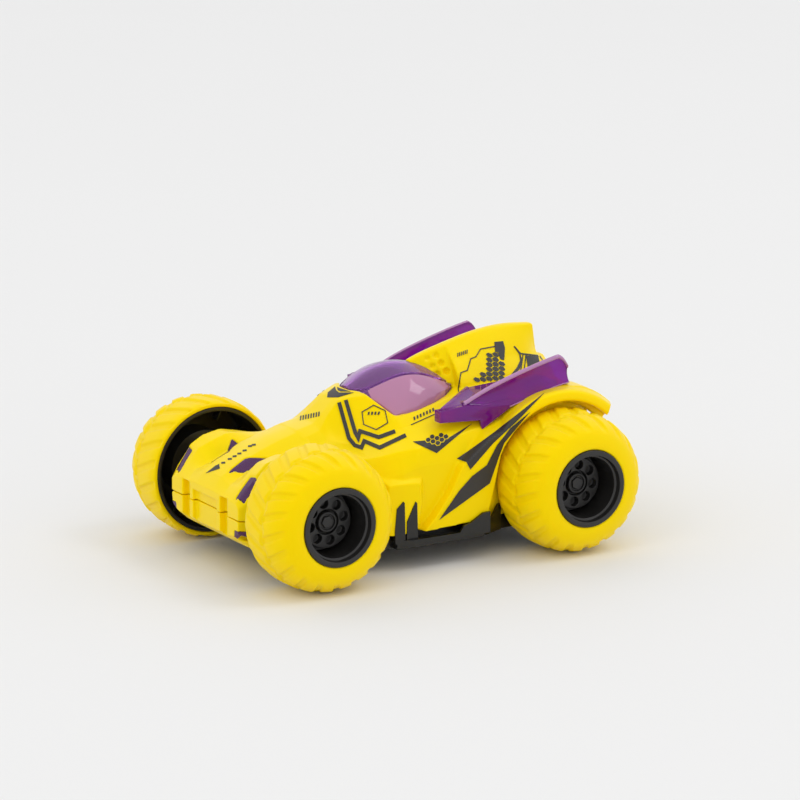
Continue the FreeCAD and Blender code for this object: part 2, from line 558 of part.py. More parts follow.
def gear(teeth, x, y0, y1, phase, bore_r):
    """A spur gear about Y with straight-sided teeth, thinned for backlash. Phase is in radians."""
    pitch_r = GEAR_MODULE * teeth / 2
    tip_r = pitch_r + 0.95 * GEAR_MODULE
    root_r = pitch_r - 1.25 * GEAR_MODULE
    step = 2 * math.pi / teeth
    outline = []
    for k in range(teeth):
        a = phase + k * step
        for r, half in ((root_r, 0.30), (pitch_r, 0.215), (tip_r, 0.10)):
            outline.append((r, a - half * step))
        for r, half in ((tip_r, 0.10), (pitch_r, 0.215), (root_r, 0.30)):
            outline.append((r, a + half * step))
    body = prism_xz([(x + r * math.cos(a), AXLE_Z + r * math.sin(a)) for r, a in outline], y0, y1)
    return body.cut(rod_y(x, AXLE_Z, bore_r, y0 - 20, y1 + 20)) if bore_r else body


def output_gear():
    """The gear pressed on the wheel's axle, one tooth pointing forward."""
    y0 = GEARBOX_INNER_Y + 5.3
    return gear(OUTPUT_TEETH, REAR_X, y0, y0 + GEAR_WIDTH, 0.0, SHAFT_R + PRESS_GAP)


def idler_gear():
    """A large and a small gear in one piece, which runs on a fixed pin."""
    y0 = GEARBOX_INNER_Y + PLATE + 0.6
    big = gear(IDLER_BIG_TEETH, IDLER_X, y0, y0 + 2.2, 0.0, 0)
    small = gear(IDLER_SMALL_TEETH, IDLER_X, y0 + 2.2, y0 + 6.0, math.pi + math.pi / IDLER_SMALL_TEETH, 0)
    return big.fuse(small).removeSplitter().cut(rod_y(IDLER_X, AXLE_Z, 1.05, 20, 40))


def motor_pinion():
    """The pinion on its motor shaft, which turns with it."""
    y0 = GEARBOX_INNER_Y + PLATE + 0.4
    toothed = gear(PINION_TEETH, MOTOR_X, y0, y0 + 2.6, math.pi + math.pi / PINION_TEETH, 0)
    return toothed.fuse(rod_y(MOTOR_X, AXLE_Z, 1.0, 3.2, y0 + 3.2)).removeSplitter()


def motor():
    """A flat-sided can with a plastic end bell and two solder tags. Its shaft is with the pinion."""
    flat = box(MOTOR_X - 20, 0, AXLE_Z - MOTOR_HALF_HEIGHT, MOTOR_X + 20, 40, AXLE_Z + MOTOR_HALF_HEIGHT)
    y1 = GEARBOX_INNER_Y - 0.1
    can = rod_y(MOTOR_X, AXLE_Z, MOTOR_R, y1 - MOTOR_LENGTH, y1).common(flat)
    tags = [box(MOTOR_X + dx - 0.25, 1.8, AXLE_Z + 7.3, MOTOR_X + dx + 0.25, 4.0, AXLE_Z + 9.6)
            for dx in (-3.0, 3.0)]
    return union([can] + tags).cut(rod_y(MOTOR_X, AXLE_Z, 1.06, 2.8, 40))


def gearbox_plate(y0, foot_z):
    """One side plate of a gearbox, down to foot_z."""
    outline = [(REAR_X - 11.5, foot_z), (MOTOR_X + 11, foot_z), (MOTOR_X + 11, AXLE_Z + 6),
               (MOTOR_X + 8, AXLE_Z + 9), (REAR_X - 5, AXLE_Z + 9), (REAR_X - 11.5, AXLE_Z + 3)]
    holes = [rod_y(REAR_X, AXLE_Z, 3.0, y0 - 1, y0 + 3), rod_y(IDLER_X, AXLE_Z, 1.0, y0 - 1, y0 + 3)]
    if y0 == GEARBOX_INNER_Y:
        holes.append(rod_y(MOTOR_X, AXLE_Z, 1.6, y0 - 1, y0 + 3))
    return without(prism_xz(outline, y0, y0 + PLATE), holes)


def gearbox_spacers():
    """The two cross walls that hold a gearbox's plates apart."""
    y0, y1 = GEARBOX_INNER_Y + PLATE, GEARBOX_OUTER_Y
    front = box(MOTOR_X + 7.5, y0, AXLE_Z - 12, MOTOR_X + 10.5, y1, AXLE_Z + 6)
    top = box(MOTOR_X + 2, y0, AXLE_Z + 12.2 - 5, MOTOR_X + 7.5, y1, AXLE_Z + 8.8)
    return front.fuse(top).removeSplitter()


def axle_bushings():
    """The flanged bearings of a rear axle, one in each gearbox plate."""
    solids = []
    for y0 in (GEARBOX_INNER_Y, GEARBOX_OUTER_Y):
        flange_y = y0 + PLATE if y0 == GEARBOX_OUTER_Y else y0 - BUSHING_FLANGE
        flange = rod_y(REAR_X, AXLE_Z, 3.8, flange_y, flange_y + BUSHING_FLANGE)
        ring = rod_y(REAR_X, AXLE_Z, 3.0, y0, y0 + PLATE).fuse(flange).removeSplitter()
        solids.append(ring.cut(rod_y(REAR_X, AXLE_Z, SHAFT_R + RUNNING_GAP, 20, 40)))
    return Part.makeCompound(solids)


def idler_pin():
    """The fixed pin the idler gear runs on."""
    return rod_y(IDLER_X, AXLE_Z, 1.0, GEARBOX_INNER_Y, GEARBOX_OUTER_Y + PLATE)


def rear_half_axle():
    """The short axle from a gearbox out to its rear wheel."""
    return rod_y(REAR_X, AXLE_Z, SHAFT_R, 23.2, 50.8)


def front_axle():
    """The plain axle on which both front wheels run free."""
    return rod_y(FRONT_X, AXLE_Z, SHAFT_R, -53.2, 53.2)


def push_nuts():
    """The two rings pushed on the ends of the front axle."""
    ring = rod_y(FRONT_X, AXLE_Z, 3.2, 51.4, 52.2).cut(rod_y(FRONT_X, AXLE_Z, SHAFT_R, 50, 54))
    return Part.makeCompound([ring, mirrored(ring)])


def build():
    """Every node of the car by name."""
    shell = upper_body_shell()
    bubble = canopy(shell)
    nodes = {
        "upper_body_shell": shell,
        "front_bumper": front_bumper(),
        "hood_lamp_lenses": hood_lamp_lenses(shell),
        "corner_lamp_lenses": corner_lamp_lenses(shell),
        "canopy": bubble,
        "cockpit_tub": cockpit_tub(shell, bubble),
        "chassis_pan": chassis_pan(),
        "battery_door": battery_door(),
        "battery_cells": battery_cells(),
        "battery_contacts": battery_contacts(),
        "circuit_board": circuit_board(),
        "board_components": board_components(),
        "antenna": antenna(),
        "power_switch_body": power_switch_body(),
        "power_switch_slider": power_switch_slider(),
        "front_axle": front_axle(),
        "front_axle_push_nuts": push_nuts(),
        "chassis_screws": Part.makeCompound(
            [pan_screw(x, s * y, 22, FLOOR_Z) for x, y in BODY_SCREWS for s in (1, -1)]),
    }
    for side in SIDES:
        nodes[side + "_wing"] = sided(wing(shell), side)
        nodes[side + "_side_skirt"] = sided(side_skirt(), side)
        nodes[side + "_motor"] = sided(motor(), side)
        nodes[side + "_motor_pinion"] = sided(motor_pinion(), side)
        nodes[side + "_idler_gear"] = sided(idler_gear(), side)
        nodes[side + "_idler_pin"] = sided(idler_pin(), side)
        nodes[side + "_output_gear"] = sided(output_gear(), side)
        nodes[side + "_gearbox_inner_plate"] = sided(gearbox_plate(GEARBOX_INNER_Y, FLOOR_Z + WALL), side)
        nodes[side + "_gearbox_outer_plate"] = sided(gearbox_plate(GEARBOX_OUTER_Y, 16.5), side)
        nodes[side + "_gearbox_spacers"] = sided(gearbox_spacers(), side)
        nodes[side + "_axle_bushings"] = sided(axle_bushings(), side)
        nodes[side + "_rear_axle"] = sided(rear_half_axle(), side)
        for end, x in (("front", FRONT_X), ("rear", REAR_X)):
            bore = SHAFT_R + (RUNNING_GAP if end == "front" else PRESS_GAP)
            nodes["%s_%s_tyre" % (end, side)] = sided(tyre(x), side)
            nodes["%s_%s_rim" % (end, side)] = sided(rim(x, bore), side)
            nodes["%s_%s_hub_cap" % (end, side)] = sided(hub_cap(x, HUB_TURN[end]), side)
    return nodes


def main():
    """Writes every node's STEP file."""
    os.makedirs("parts", exist_ok=True)
    for name, shape in sorted(build().items()):
        solids = shape.Solids
        print("%-28s solids %d valid %s volume %.1f" % (name, len(solids), shape.isValid(), shape.Volume))
        shape.exportStep("parts/%s.step" % name)


main()
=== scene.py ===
"""The looks of the stunt car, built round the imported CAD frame: moulded yellow shell and bumper, clear
purple canopy, wings and lamps, chevron tyres, deep black wheels, printed trim, camera and studio light."""

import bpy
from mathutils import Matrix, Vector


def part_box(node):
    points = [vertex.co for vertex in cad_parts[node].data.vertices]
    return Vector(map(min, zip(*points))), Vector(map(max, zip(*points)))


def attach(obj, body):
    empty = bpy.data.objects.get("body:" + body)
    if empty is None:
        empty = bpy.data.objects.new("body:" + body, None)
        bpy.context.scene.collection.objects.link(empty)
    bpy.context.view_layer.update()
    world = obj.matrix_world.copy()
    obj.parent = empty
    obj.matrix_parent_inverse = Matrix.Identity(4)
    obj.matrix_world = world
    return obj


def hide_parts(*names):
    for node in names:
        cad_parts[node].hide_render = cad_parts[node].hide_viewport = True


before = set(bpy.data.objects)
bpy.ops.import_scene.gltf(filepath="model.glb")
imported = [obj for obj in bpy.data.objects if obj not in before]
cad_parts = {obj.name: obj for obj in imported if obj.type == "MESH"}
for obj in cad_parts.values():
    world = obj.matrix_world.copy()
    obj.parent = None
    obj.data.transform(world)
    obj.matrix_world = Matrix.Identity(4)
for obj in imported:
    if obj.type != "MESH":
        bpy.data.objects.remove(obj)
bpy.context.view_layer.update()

import math

import bmesh
import bpy
from mathutils import Matrix, Vector
from mathutils.bvhtree import BVHTree

MM = 0.001


def mm(*values):
    """A point given in millimetres, in metres."""
    return Vector(values) * MM


# Sizes read from the frame -----------------------------------------

def middle(node):
    """The middle of a CAD node's box, in millimetres."""
    low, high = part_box(node)
    return (low + high) / 2 / MM


FRONT_X = middle("front_left_tyre").x
REAR_X = middle("rear_left_tyre").x
AXLE_Z = middle("front_left_tyre").z
WALL = 1.8


# Materials ---------------------------------------------------------

def new_material(name):
    """A material with its node tree and its surface shader."""
    material = bpy.data.materials.new(name)
    material.use_nodes = True
    tree = material.node_tree
    return material, tree, tree.nodes["Principled BSDF"]


def add_node(tree, kind, **inputs):
    """A shader node with its named inputs set."""
    node = tree.nodes.new(kind)
    for key, value in inputs.items():
        node.inputs[key.replace("_", " ")].default_value = value
    return node


def mottled(tree, colour, shade, scale, detail=3.0):
    """Two close tones of one colour in soft clouds, as moulded plastic has."""
    where = tree.nodes.new("ShaderNodeTexCoord")
    clouds = add_node(tree, "ShaderNodeTexNoise", Scale=scale, Detail=detail, Roughness=0.55)
    tree.links.new(where.outputs["Object"], clouds.inputs["Vector"])
    mix = tree.nodes.new("ShaderNodeMix")
    mix.data_type = "RGBA"
    mix.inputs["A"].default_value = (*colour, 1)
    mix.inputs["B"].default_value = (*[c * shade for c in colour], 1)
    tree.links.new(clouds.outputs["Fac"], mix.inputs["Factor"])
    return where, clouds, mix.outputs["Result"]


def grain_bump(tree, where, scale, distance, strength, below=None):
    """A fine moulded grain, in metres of height."""
    grain = add_node(tree, "ShaderNodeTexNoise", Scale=scale, Detail=4.0, Roughness=0.6)
    tree.links.new(where.outputs["Object"], grain.inputs["Vector"])
    bump = add_node(tree, "ShaderNodeBump", Strength=strength, Distance=distance)
    tree.links.new(grain.outputs["Fac"], bump.inputs["Height"])
    if below:
        tree.links.new(below, bump.inputs["Normal"])
    return bump.outputs["Normal"]


def rough_spread(tree, clouds, low, high):
    """Roughness that wanders between two values with the clouds."""
    spread = tree.nodes.new("ShaderNodeMapRange")
    spread.inputs["To Min"].default_value = low
    spread.inputs["To Max"].default_value = high
    tree.links.new(clouds.outputs["Fac"], spread.inputs["Value"])
    return spread.outputs["Result"]


def plastic(name, colour, shade=0.93, rough=(0.3, 0.38), grain=2200.0, height=0.00002, strength=0.25,
            scatter=0.0, coat=0.0, tint=(1, 1, 1)):
    """Moulded plastic with soft clouds of tone and a fine grain."""
    material, tree, surface = new_material(name)
    where, clouds, tone = mottled(tree, colour, shade, 60.0)
    tree.links.new(tone, surface.inputs["Base Color"])
    tree.links.new(rough_spread(tree, clouds, *rough), surface.inputs["Roughness"])
    tree.links.new(grain_bump(tree, where, grain, height, strength), surface.inputs["Normal"])
    surface.inputs["IOR"].default_value = 1.5
    surface.inputs["Subsurface Weight"].default_value = scatter
    surface.inputs["Subsurface Radius"].default_value = (0.004, 0.0025, 0.0005)
    surface.inputs["Subsurface Scale"].default_value = 0.4
    surface.inputs["Coat Weight"].default_value = coat
    surface.inputs["Coat Roughness"].default_value = 0.12
    surface.inputs["Specular Tint"].default_value = (*tint, 1)
    return material


def clear_plastic(name, colour, deep, rough=(0.03, 0.08), transmission=1.0, second=None):
    """Tinted clear plastic, uneven in its tint, which may drift in clouds to a second one."""
    material, tree, surface = new_material(name)
    where, clouds, tone = mottled(tree, colour, deep, 35.0, 1.0)
    if second:
        tone.node.inputs["B"].default_value = (*second, 1)
    tree.links.new(tone, surface.inputs["Base Color"])
    tree.links.new(rough_spread(tree, clouds, *rough), surface.inputs["Roughness"])
    tree.links.new(grain_bump(tree, where, 90.0, 0.0001, 0.12), surface.inputs["Normal"])
    surface.inputs["Transmission Weight"].default_value = transmission
    surface.inputs["IOR"].default_value = 1.46
    return material


def metal(name, colour, rough=(0.22, 0.36), grain=900.0):
    """Finely brushed metal."""
    material, tree, surface = new_material(name)
    where, clouds, tone = mottled(tree, colour, 0.85, 120.0)
    tree.links.new(tone, surface.inputs["Base Color"])
    tree.links.new(rough_spread(tree, clouds, *rough), surface.inputs["Roughness"])
    tree.links.new(grain_bump(tree, where, grain, 0.00001, 0.2), surface.inputs["Normal"])
    surface.inputs["Metallic"].default_value = 1.0
    return material


YELLOW = plastic("yellow_shell", (1.0, 0.725, 0.0), shade=0.97, rough=(0.27, 0.34), scatter=0.2,
                 tint=(1.0, 0.8, 0.08))
TYRE_YELLOW = plastic("yellow_tyre", (1.0, 0.71, 0.0), shade=0.95, rough=(0.42, 0.52), grain=1400.0,
                      height=0.00003, strength=0.35, scatter=0.2, tint=(1.0, 0.8, 0.08))
BLACK = plastic("black_plastic", (0.008, 0.0075, 0.007), shade=0.7, rough=(0.16, 0.26), grain=1600.0)
RIM_BLACK = plastic("black_rim", (0.016, 0.015, 0.014), shade=0.75, rough=(0.26, 0.36), grain=1500.0)
HUB_BLACK = plastic("black_hub", (0.022, 0.021, 0.02), shade=0.75, rough=(0.36, 0.46), grain=1900.0,
                    height=0.00003, strength=0.4)
TUB_BLACK = plastic("tub_black", (0.02, 0.012, 0.02), shade=0.7, rough=(0.4, 0.5), grain=1500.0)
PRINT = plastic("black_print", (0.028, 0.025, 0.024), shade=0.8, rough=(0.38, 0.46), grain=2600.0)
PURPLE = clear_plastic("purple_clear", (0.58, 0.2, 0.76), 0.9, transmission=0.82)
# The pale lilac of the canopy's side windows is a painted reflection of the studio light, not the plastic's
# own tint.
WINDOW_PAINTED_REFLECTION = clear_plastic("window_painted_reflection", (0.66, 0.30, 0.50), 0.9, transmission=0.3)
LAMP_PURPLE = clear_plastic("lamp_purple", (0.16, 0.03, 0.20), 0.6, transmission=0.5)
WING_PURPLE = clear_plastic("wing_purple", (0.31, 0.0, 0.31), 0.7, transmission=0.55,
                            second=(0.24, 0.01, 0.44))
# A lighter lilac for the wing's top rail and lip line: a painted highlight, where light glints along them.
RAIL_PAINTED_HIGHLIGHT = clear_plastic("rail_painted_highlight", (0.72, 0.36, 0.70), 0.85, transmission=0.35)
STEEL = metal("steel", (0.62, 0.62, 0.64))
BRASS = metal("brass", (0.78, 0.6, 0.28))
NYLON = plastic("nylon", (0.8, 0.8, 0.74), shade=0.95, rough=(0.4, 0.5), scatter=0.3)
GREY = plastic("gearbox_grey", (0.1, 0.1, 0.105), shade=0.85, rough=(0.45, 0.55))
BOARD = plastic("board_green", (0.02, 0.2, 0.06), shade=0.7, rough=(0.25, 0.35))
CHIP = plastic("chip_black", (0.02, 0.02, 0.02), rough=(0.4, 0.5))
CELL = plastic("cell_wrap", (0.04, 0.16, 0.4), shade=0.8, rough=(0.18, 0.25), coat=0.4)


# Mesh tools --------------------------------------------------------

def linked(name, data):
    """A new object of the scene with this mesh, light or camera."""
    obj = bpy.data.objects.new(name, data)
    bpy.context.scene.collection.objects.link(obj)
    return obj


def mesh_object(name, points, faces, material=None):
    """An object from points in millimetres."""
    mesh = bpy.data.meshes.new(name)
    mesh.from_pydata([mm(*p) for p in points], [], faces)
    mesh.update()
    if material:
        mesh.materials.append(material)
    return linked(name, mesh)


def outward(obj):
    """Makes every face look outwards."""
    work = bmesh.new()
    work.from_mesh(obj.data)
    bmesh.ops.recalc_face_normals(work, faces=work.faces)
    work.to_mesh(obj.data)
    work.free()
    return obj


def settle(obj):
    """Applies the object's modifiers to its mesh."""
    bpy.context.view_layer.update()
    mesh = bpy.data.meshes.new_from_object(obj.evaluated_get(bpy.context.evaluated_depsgraph_get()))
    obj.modifiers.clear()
    old = obj.data
    obj.data = mesh
    bpy.data.meshes.remove(old)
    return obj


def modified(obj, kind, **settings):
    """The object with one modifier applied."""
    modifier = obj.modifiers.new(kind.lower(), kind)
    for key, value in settings.items():
        setattr(modifier, key, value)
    return settle(obj)


def combine(obj, others, operation):
    """Joins, cuts or intersects the object with others, which are used up."""
    for other in others:
        modified(obj, "BOOLEAN", object=other, operation=operation, solver="MANIFOLD")
        bpy.data.objects.remove(other)
    return obj


def joined(obj, others):
    """One object made of several."""
    with bpy.context.temp_override(active_object=obj, selected_editable_objects=[obj] + others):
        bpy.ops.object.join()
    return obj


def mirror_copy(obj, name):
    """A copy on the other side of the car."""
    twin = linked(name, obj.data.copy())
    twin.data.transform(Matrix.Scale(-1, 4, Vector((0, 1, 0))))
    twin.data.flip_normals()
    return twin


def painted(obj, material):
    """The object in one material."""
    obj.data.materials.clear()
    obj.data.materials.append(material)
    for face in obj.data.polygons:
        face.material_index = 0
    return obj


def smooth_shaded(obj, angle=None):
    """Smooth shading, with edges sharper than the angle in degrees kept sharp."""
    obj.data.shade_smooth()
    if angle:
        obj.data.set_sharp_from_angle(angle=math.radians(angle))
    return obj


def fit(piece, node, carrier="chassis"):
    """Puts a piece in the place of a CAD node, on the body that carries it."""
    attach(piece, carrier)
    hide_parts(node)


def cage(name, rings, creases, ring_creases=None, levels=2):
    """A closed subdivided form through rings of points, with creased lines along and across it."""
    count = len(rings[0])
    points = [p for ring in rings for p in ring]
    faces = [list(range(count))[::-1], [len(points) - count + i for i in range(count)]]
    for k in range(len(rings) - 1):
        for i in range(count):
            j = (i + 1) % count
            faces.append([k * count + i, k * count + j, (k + 1) * count + j, (k + 1) * count + i])
    obj = outward(mesh_object(name, points, faces))
    last = len(rings) - 1
    across = {0: 1.0, last: 1.0, **(ring_creases or {})}
    layer = obj.data.attributes.new("crease_edge", "FLOAT", "EDGE")
    for edge in obj.data.edges:
        a, b = edge.vertices
        if a // count != b // count:
            layer.data[edge.index].value = creases.get(a % count, 0.0)
        else:
            layer.data[edge.index].value = across.get(a // count, 0.0)
    return modified(obj, "SUBSURF", levels=levels, render_levels=levels)


def whole_ring(x, half):
    """A ring across the car from its left half, from the top centre down to the lower edge."""
    left = [(x, y, z) for y, z in half]
    right = [(x, -y, z) for y, z in reversed(half[1:])]
    return left + [(x, 0, half[-1][1])] + right


def car_cage(name, stations, creases, ring_creases=None, levels=2):
    """A cage across the whole car, its creases given by the place in the half ring."""
    count = len(stations[0][1])
    both = dict(creases)
    both.update({2 * count - i: value for i, value in creases.items() if i})
    return cage(name, [whole_ring(x, half) for x, half in stations], both, ring_creases, levels)


def block(name, start, end):
    """A closed block between two outlines with the same number of points."""
    n = len(start)
    faces = [list(range(n)), list(range(2 * n - 1, n - 1, -1))]
    faces += [[i, i + n, (i + 1) % n + n, (i + 1) % n] for i in range(n)]
    return outward(mesh_object(name, start + end, faces))


def prism(name, outline, y0, y1):
    """A straight block along Y from an outline of (x, z) points."""
    return block(name, [(x, y0, z) for x, z in outline], [(x, y1, z) for x, z in outline])


def block_up(name, outline, z0, z1):
    """A straight block along Z from an outline of (x, y) points."""
    return block(name, [(x, y, z0) for x, y in outline], [(x, y, z1) for x, y in outline])


def slab(name, low, high):
    """A straight box between two corners."""
    (x0, y0, z0), (x1, y1, z1) = low, high
    return block_up(name, [(x0, y0), (x1, y0), (x1, y1), (x0, y1)], z0, z1)


def polygon(x, z, radius, sides, turn=0.0):
    """The corners of a regular polygon about a point, the first one turned by some degrees."""
    angles = [math.radians(turn + 360 * k / sides) for k in range(sides)]
    return [(x + radius * math.cos(a), z + radius * math.sin(a)) for a in angles]


def round_bar(name, x, z, radius, y0, y1, steps=96):
    """A round block along Y."""
    return prism(name, polygon(x, z, radius, steps), y0, y1)


def turned(name, profile, x, steps=96, material=None):
    """Turns a closed profile of (radius, y) points about the wheel axis at x."""
    points, faces = [], []
    n = len(profile)
    for k in range(steps):
        a = 2 * math.pi * k / steps
        points += [(x + r * math.cos(a), y, AXLE_Z + r * math.sin(a)) for r, y in profile]
    for k in range(steps):
        for i in range(n):
            j = (i + 1) % n
            m = (k + 1) % steps
            faces.append([k * n + i, k * n + j, m * n + j, m * n + i])
    return outward(mesh_object(name, points, faces, material))


# Shell -------------------------------------------------------------

NOSE = [
    (45, [(0, 56.4), (8, 55.6), (14, 52.8), (21, 49.0), (27, 46.6), (34, 42.0), (34, 15.4)]),
    (56, [(0, 53.6), (8, 52.4), (15, 48.8), (21, 50.0), (27, 49.6), (34.5, 44.0), (34.5, 15.4)]),
    (64, [(0, 50.6), (8.5, 49.8), (14.5, 46.4), (21, 50.8), (27.5, 51.2), (34, 45.0), (34, 27.2)]),
    (72, [(0, 46.8), (8, 46.2), (13.5, 43.2), (20, 48.4), (27.5, 49.6), (33.5, 44.0), (33.5, 27.2)]),
    (77, [(0, 44.4), (8, 43.8), (13.5, 40.8), (22, 45.6), (29, 46.0), (33, 41.0), (33, 27.2)]),
    (82, [(0, 41.0), (7, 40.6), (15, 38.8), (22, 39.6), (28, 39.8), (32, 36.0), (32, 27.2)]),
    (86, [(0, 35.2), (7, 35.2), (15, 34.8), (22, 34.4), (27, 34.0), (29, 32.5), (29, 27.2)]),
]
HULL = [
    (-80, [(0, 62), (10, 62), (18, 61), (26, 60), (33, 58), (34, 42), (33, 24)]),
    (-72, [(0, 70), (10, 69), (20, 67), (28, 66), (36.5, 65), (37.5, 42), (37, 15.4)]),
    (-60, [(0, 70), (10, 70), (20, 68.5), (28, 65), (37.5, 63.5), (37.5, 42), (37, 15.4)]),
    (-45, [(0, 68), (8, 68), (20, 67), (28, 62), (37.5, 59.5), (37.5, 42), (37, 15.4)]),
    (-33, [(0, 67), (8, 67), (20, 66), (27, 61), (37.5, 55.5), (37.5, 42), (37, 15.4)]),
    (-26, [(0, 66), (8, 66), (19.5, 65.6), (26, 61), (37.5, 55.0), (40.5, 42), (40, 15.4)]),
    (-12, [(0, 62), (11, 62), (22.5, 63.4), (28.5, 60), (39.6, 52.6), (41.4, 43), (40.0, 15.4)]),
    (0, [(0, 61), (12, 61), (24.6, 61.2), (29.8, 58.2), (41.5, 51.2), (42.4, 43.4), (40.0, 15.4)]),
    (9, [(0, 61), (12, 61), (24.8, 60.4), (29.4, 56.8), (41.5, 50.4), (42.8, 43.4), (40.5, 15.4)]),
    (16, [(0, 70), (8, 69.6), (13.2, 68.0), (26.2, 54.6), (40, 49.8), (43, 41), (41.5, 15.4)]),
    (22, [(0, 68.8), (5, 68.4), (9.7, 67.2), (22.6, 51.4), (38, 48.4), (42, 40), (41, 15.4)]),
    (26.8, [(0, 66.5), (4, 66.4), (7.6, 66.0), (18.8, 49.4), (34.5, 47), (39, 40), (38, 15.4)]),
    (33, [(0, 61.0), (5, 61.0), (9.2, 60.2), (17.6, 50.8), (30, 46.8), (36, 40), (35, 15.4)]),
    (37.6, [(0, 57.6), (6, 57.4), (11.6, 55.6), (17.2, 51.8), (28, 46.8), (34, 41), (34, 15.4)]),
    (46.5, [(0, 56.0), (7, 55.6), (12.6, 53.2), (16, 50.8), (24, 46.6), (31, 41), (31, 15.4)]),
]
DORSAL = [
    (-77.5, [(0, 72.4), (2.0, 72.2), (4.4, 70.6), (10, 66), (15, 60)]),
    (-72.9, [(0, 73.6), (2.0, 73.6), (5.6, 72.6), (13, 68), (18, 60)]),
    (-72.3, [(0, 86.6), (2.0, 86.2), (3.0, 75.8), (14, 68.5), (20, 60)]),
    (-66.7, [(0, 87.2), (2.1, 86.7), (8.6, 75.6), (16, 68.5), (20.5, 60)]),
    (-57, [(0, 88.0), (2.2, 87.4), (10.5, 76), (17, 68.5), (21, 60)]),
    (-43.7, [(0, 86.8), (2.2, 86.0), (11, 75), (17, 67.5), (21, 60)]),
    (-28.2, [(0, 82.9), (2.4, 82.0), (10, 74.5), (15.6, 68), (19, 60)]),
]
SPINE = [
    (-30, [(0, 83.3), (2.3, 82.5), (7.0, 75), (11, 68), (11, 65.6)]),
    (-18, [(0, 80.3), (2.0, 79.5), (5.6, 73.5), (8, 67), (8, 65.6)]),
    (-10.9, [(0, 77.7), (1.4, 77.0), (3, 73), (4, 68), (4, 65.6)]),
]
PANEL_OUTER = [(7, 15.4), (-23.5, 17.0), (-28, 34), (-46, 34), (-46, 60), (-24, 50.5), (-11.5, 41),
               (-5.5, 30), (1.5, 21)]
PANEL_INNER = [(8.5, 15.4), (-23.5, 15.6), (-28, 34), (-58, 34), (-58, 64), (-24, 54), (-9.5, 42.5),
               (-4, 31), (3, 21.5)]
POD_OUTER = [(10.5, 15.4), (8, 27), (8.5, 36), (11, 36.6), (24, 37.4), (24, 15.4)]
POD_INNER = [(8, 15.4), (4.5, 28), (3, 42.5), (13, 43.8), (27, 41.5), (27, 15.4)]
CANOPY_HOLE = [(19.4, 4), (15, 12.2), (8, 22.8), (-2, 23.2), (-12, 20.6), (-20, 16.6), (-26.5, 11)]
HOOD_LAMP = [(79.2, 7.8), (70.6, 6.6), (61.5, 14.5), (63, 18.5), (68, 13), (74, 12.5)]
UPPER_LAMP = [(78.0, 25.2), (84.8, 24.4), (83.8, 30.0), (77.4, 30.6)]
FENDER_SECTION = [(33.6, 29.3), (37.0, 29.3), (37.1, 39.6), (37.7, 43.6), (37.0, 45.8), (33.8, 46.0),
                  (32.6, 45.2), (33.3, 43.2)]
FENDER_INNER = [(31.0, 35.4), (33.8, 35.0), (33.8, 29.6), (36.6, 29.6), (36.8, 41.0), (33.8, 41.0),
                (33.6, 38.2), (31.0, 38.2)]
FENDER_START, FENDER_END = 34, 132
FENDER_INNER_START = 100
FENDER_CROWN = 2.2
PANEL_Y = (36.6, 45.0)
POD_Y = (38.0, 44.6)
PIT_R = 1.55
PIT_DEPTH = 0.6
ARCH_R, ARCH_LIP_R = 33.6, 32.7
AXLE_HOLE_R = 3.2
HULL_LINES = {1: 0.8, 2: 1.0, 3: 0.9, 4: 0.95, 5: 0.5, 6: 1.0}
HULL_RINGS = {1: 0.9, 5: 0.3, 8: 0.5, 9: 0.7, 11: 0.85, 12: 0.6, 13: 0.8}
NOSE_LINES = {1: 0.9, 2: 1.0, 3: 1.0, 4: 1.0, 5: 0.8, 6: 1.0}
NOSE_RINGS = {0: 1.0, 1: 0.6, 2: 0.5, 3: 0.6, 4: 0.7, 5: 1.0, 6: 1.0}


def ramp(value, low, high):
    """A soft step from 0 at low to 1 at high."""
    t = min(max((value - low) / (high - low), 0.0), 1.0)
    return t * t * (3 - 2 * t)


def axle_ring(angle, section):
    """A section of (radius, y) points, set at an angle about the rear axle."""
    a = math.radians(angle)
    return [(REAR_X + r * math.cos(a), y, AXLE_Z + r * math.sin(a)) for r, y in section]


def fender_ring(angle, section):
    """A fender section with its crown, on the slanting end face where it is the last one."""
    crown = FENDER_CROWN * ramp(angle, 84, 108)
    points = [(r + crown if r > 36 and y < 41.5 else r, y) for r, y in section]
    if angle < FENDER_END:
        return axle_ring(angle, points)
    return [axle_ring(angle + 0.9 * (46 - max(y, 37)) - 0.6 * (r - 34), [(r, y)])[0] for r, y in points]


def fender_rings(start, count, section):
    """Rings of a fender section from an angle to the fender's end."""
    return [fender_ring(start + (FENDER_END - start) * k / (count - 1), section) for k in range(count)]


def side_cage(name, inner, outer, depths, crease, levels):
    """A block on the car's flank between an inner and an outer outline of (x, z) points."""
    rings = [[(x, y, z) for x, z in outline] for y, outline in zip(depths, (inner, outer))]
    return cage(name, rings, {i: crease for i in range(len(outer))}, levels=levels)


def both_sides(outline):
    """An outline of (x, y) points on the left, closed through its mirror image."""
    return outline + [(x, -y) for x, y in reversed(outline)]


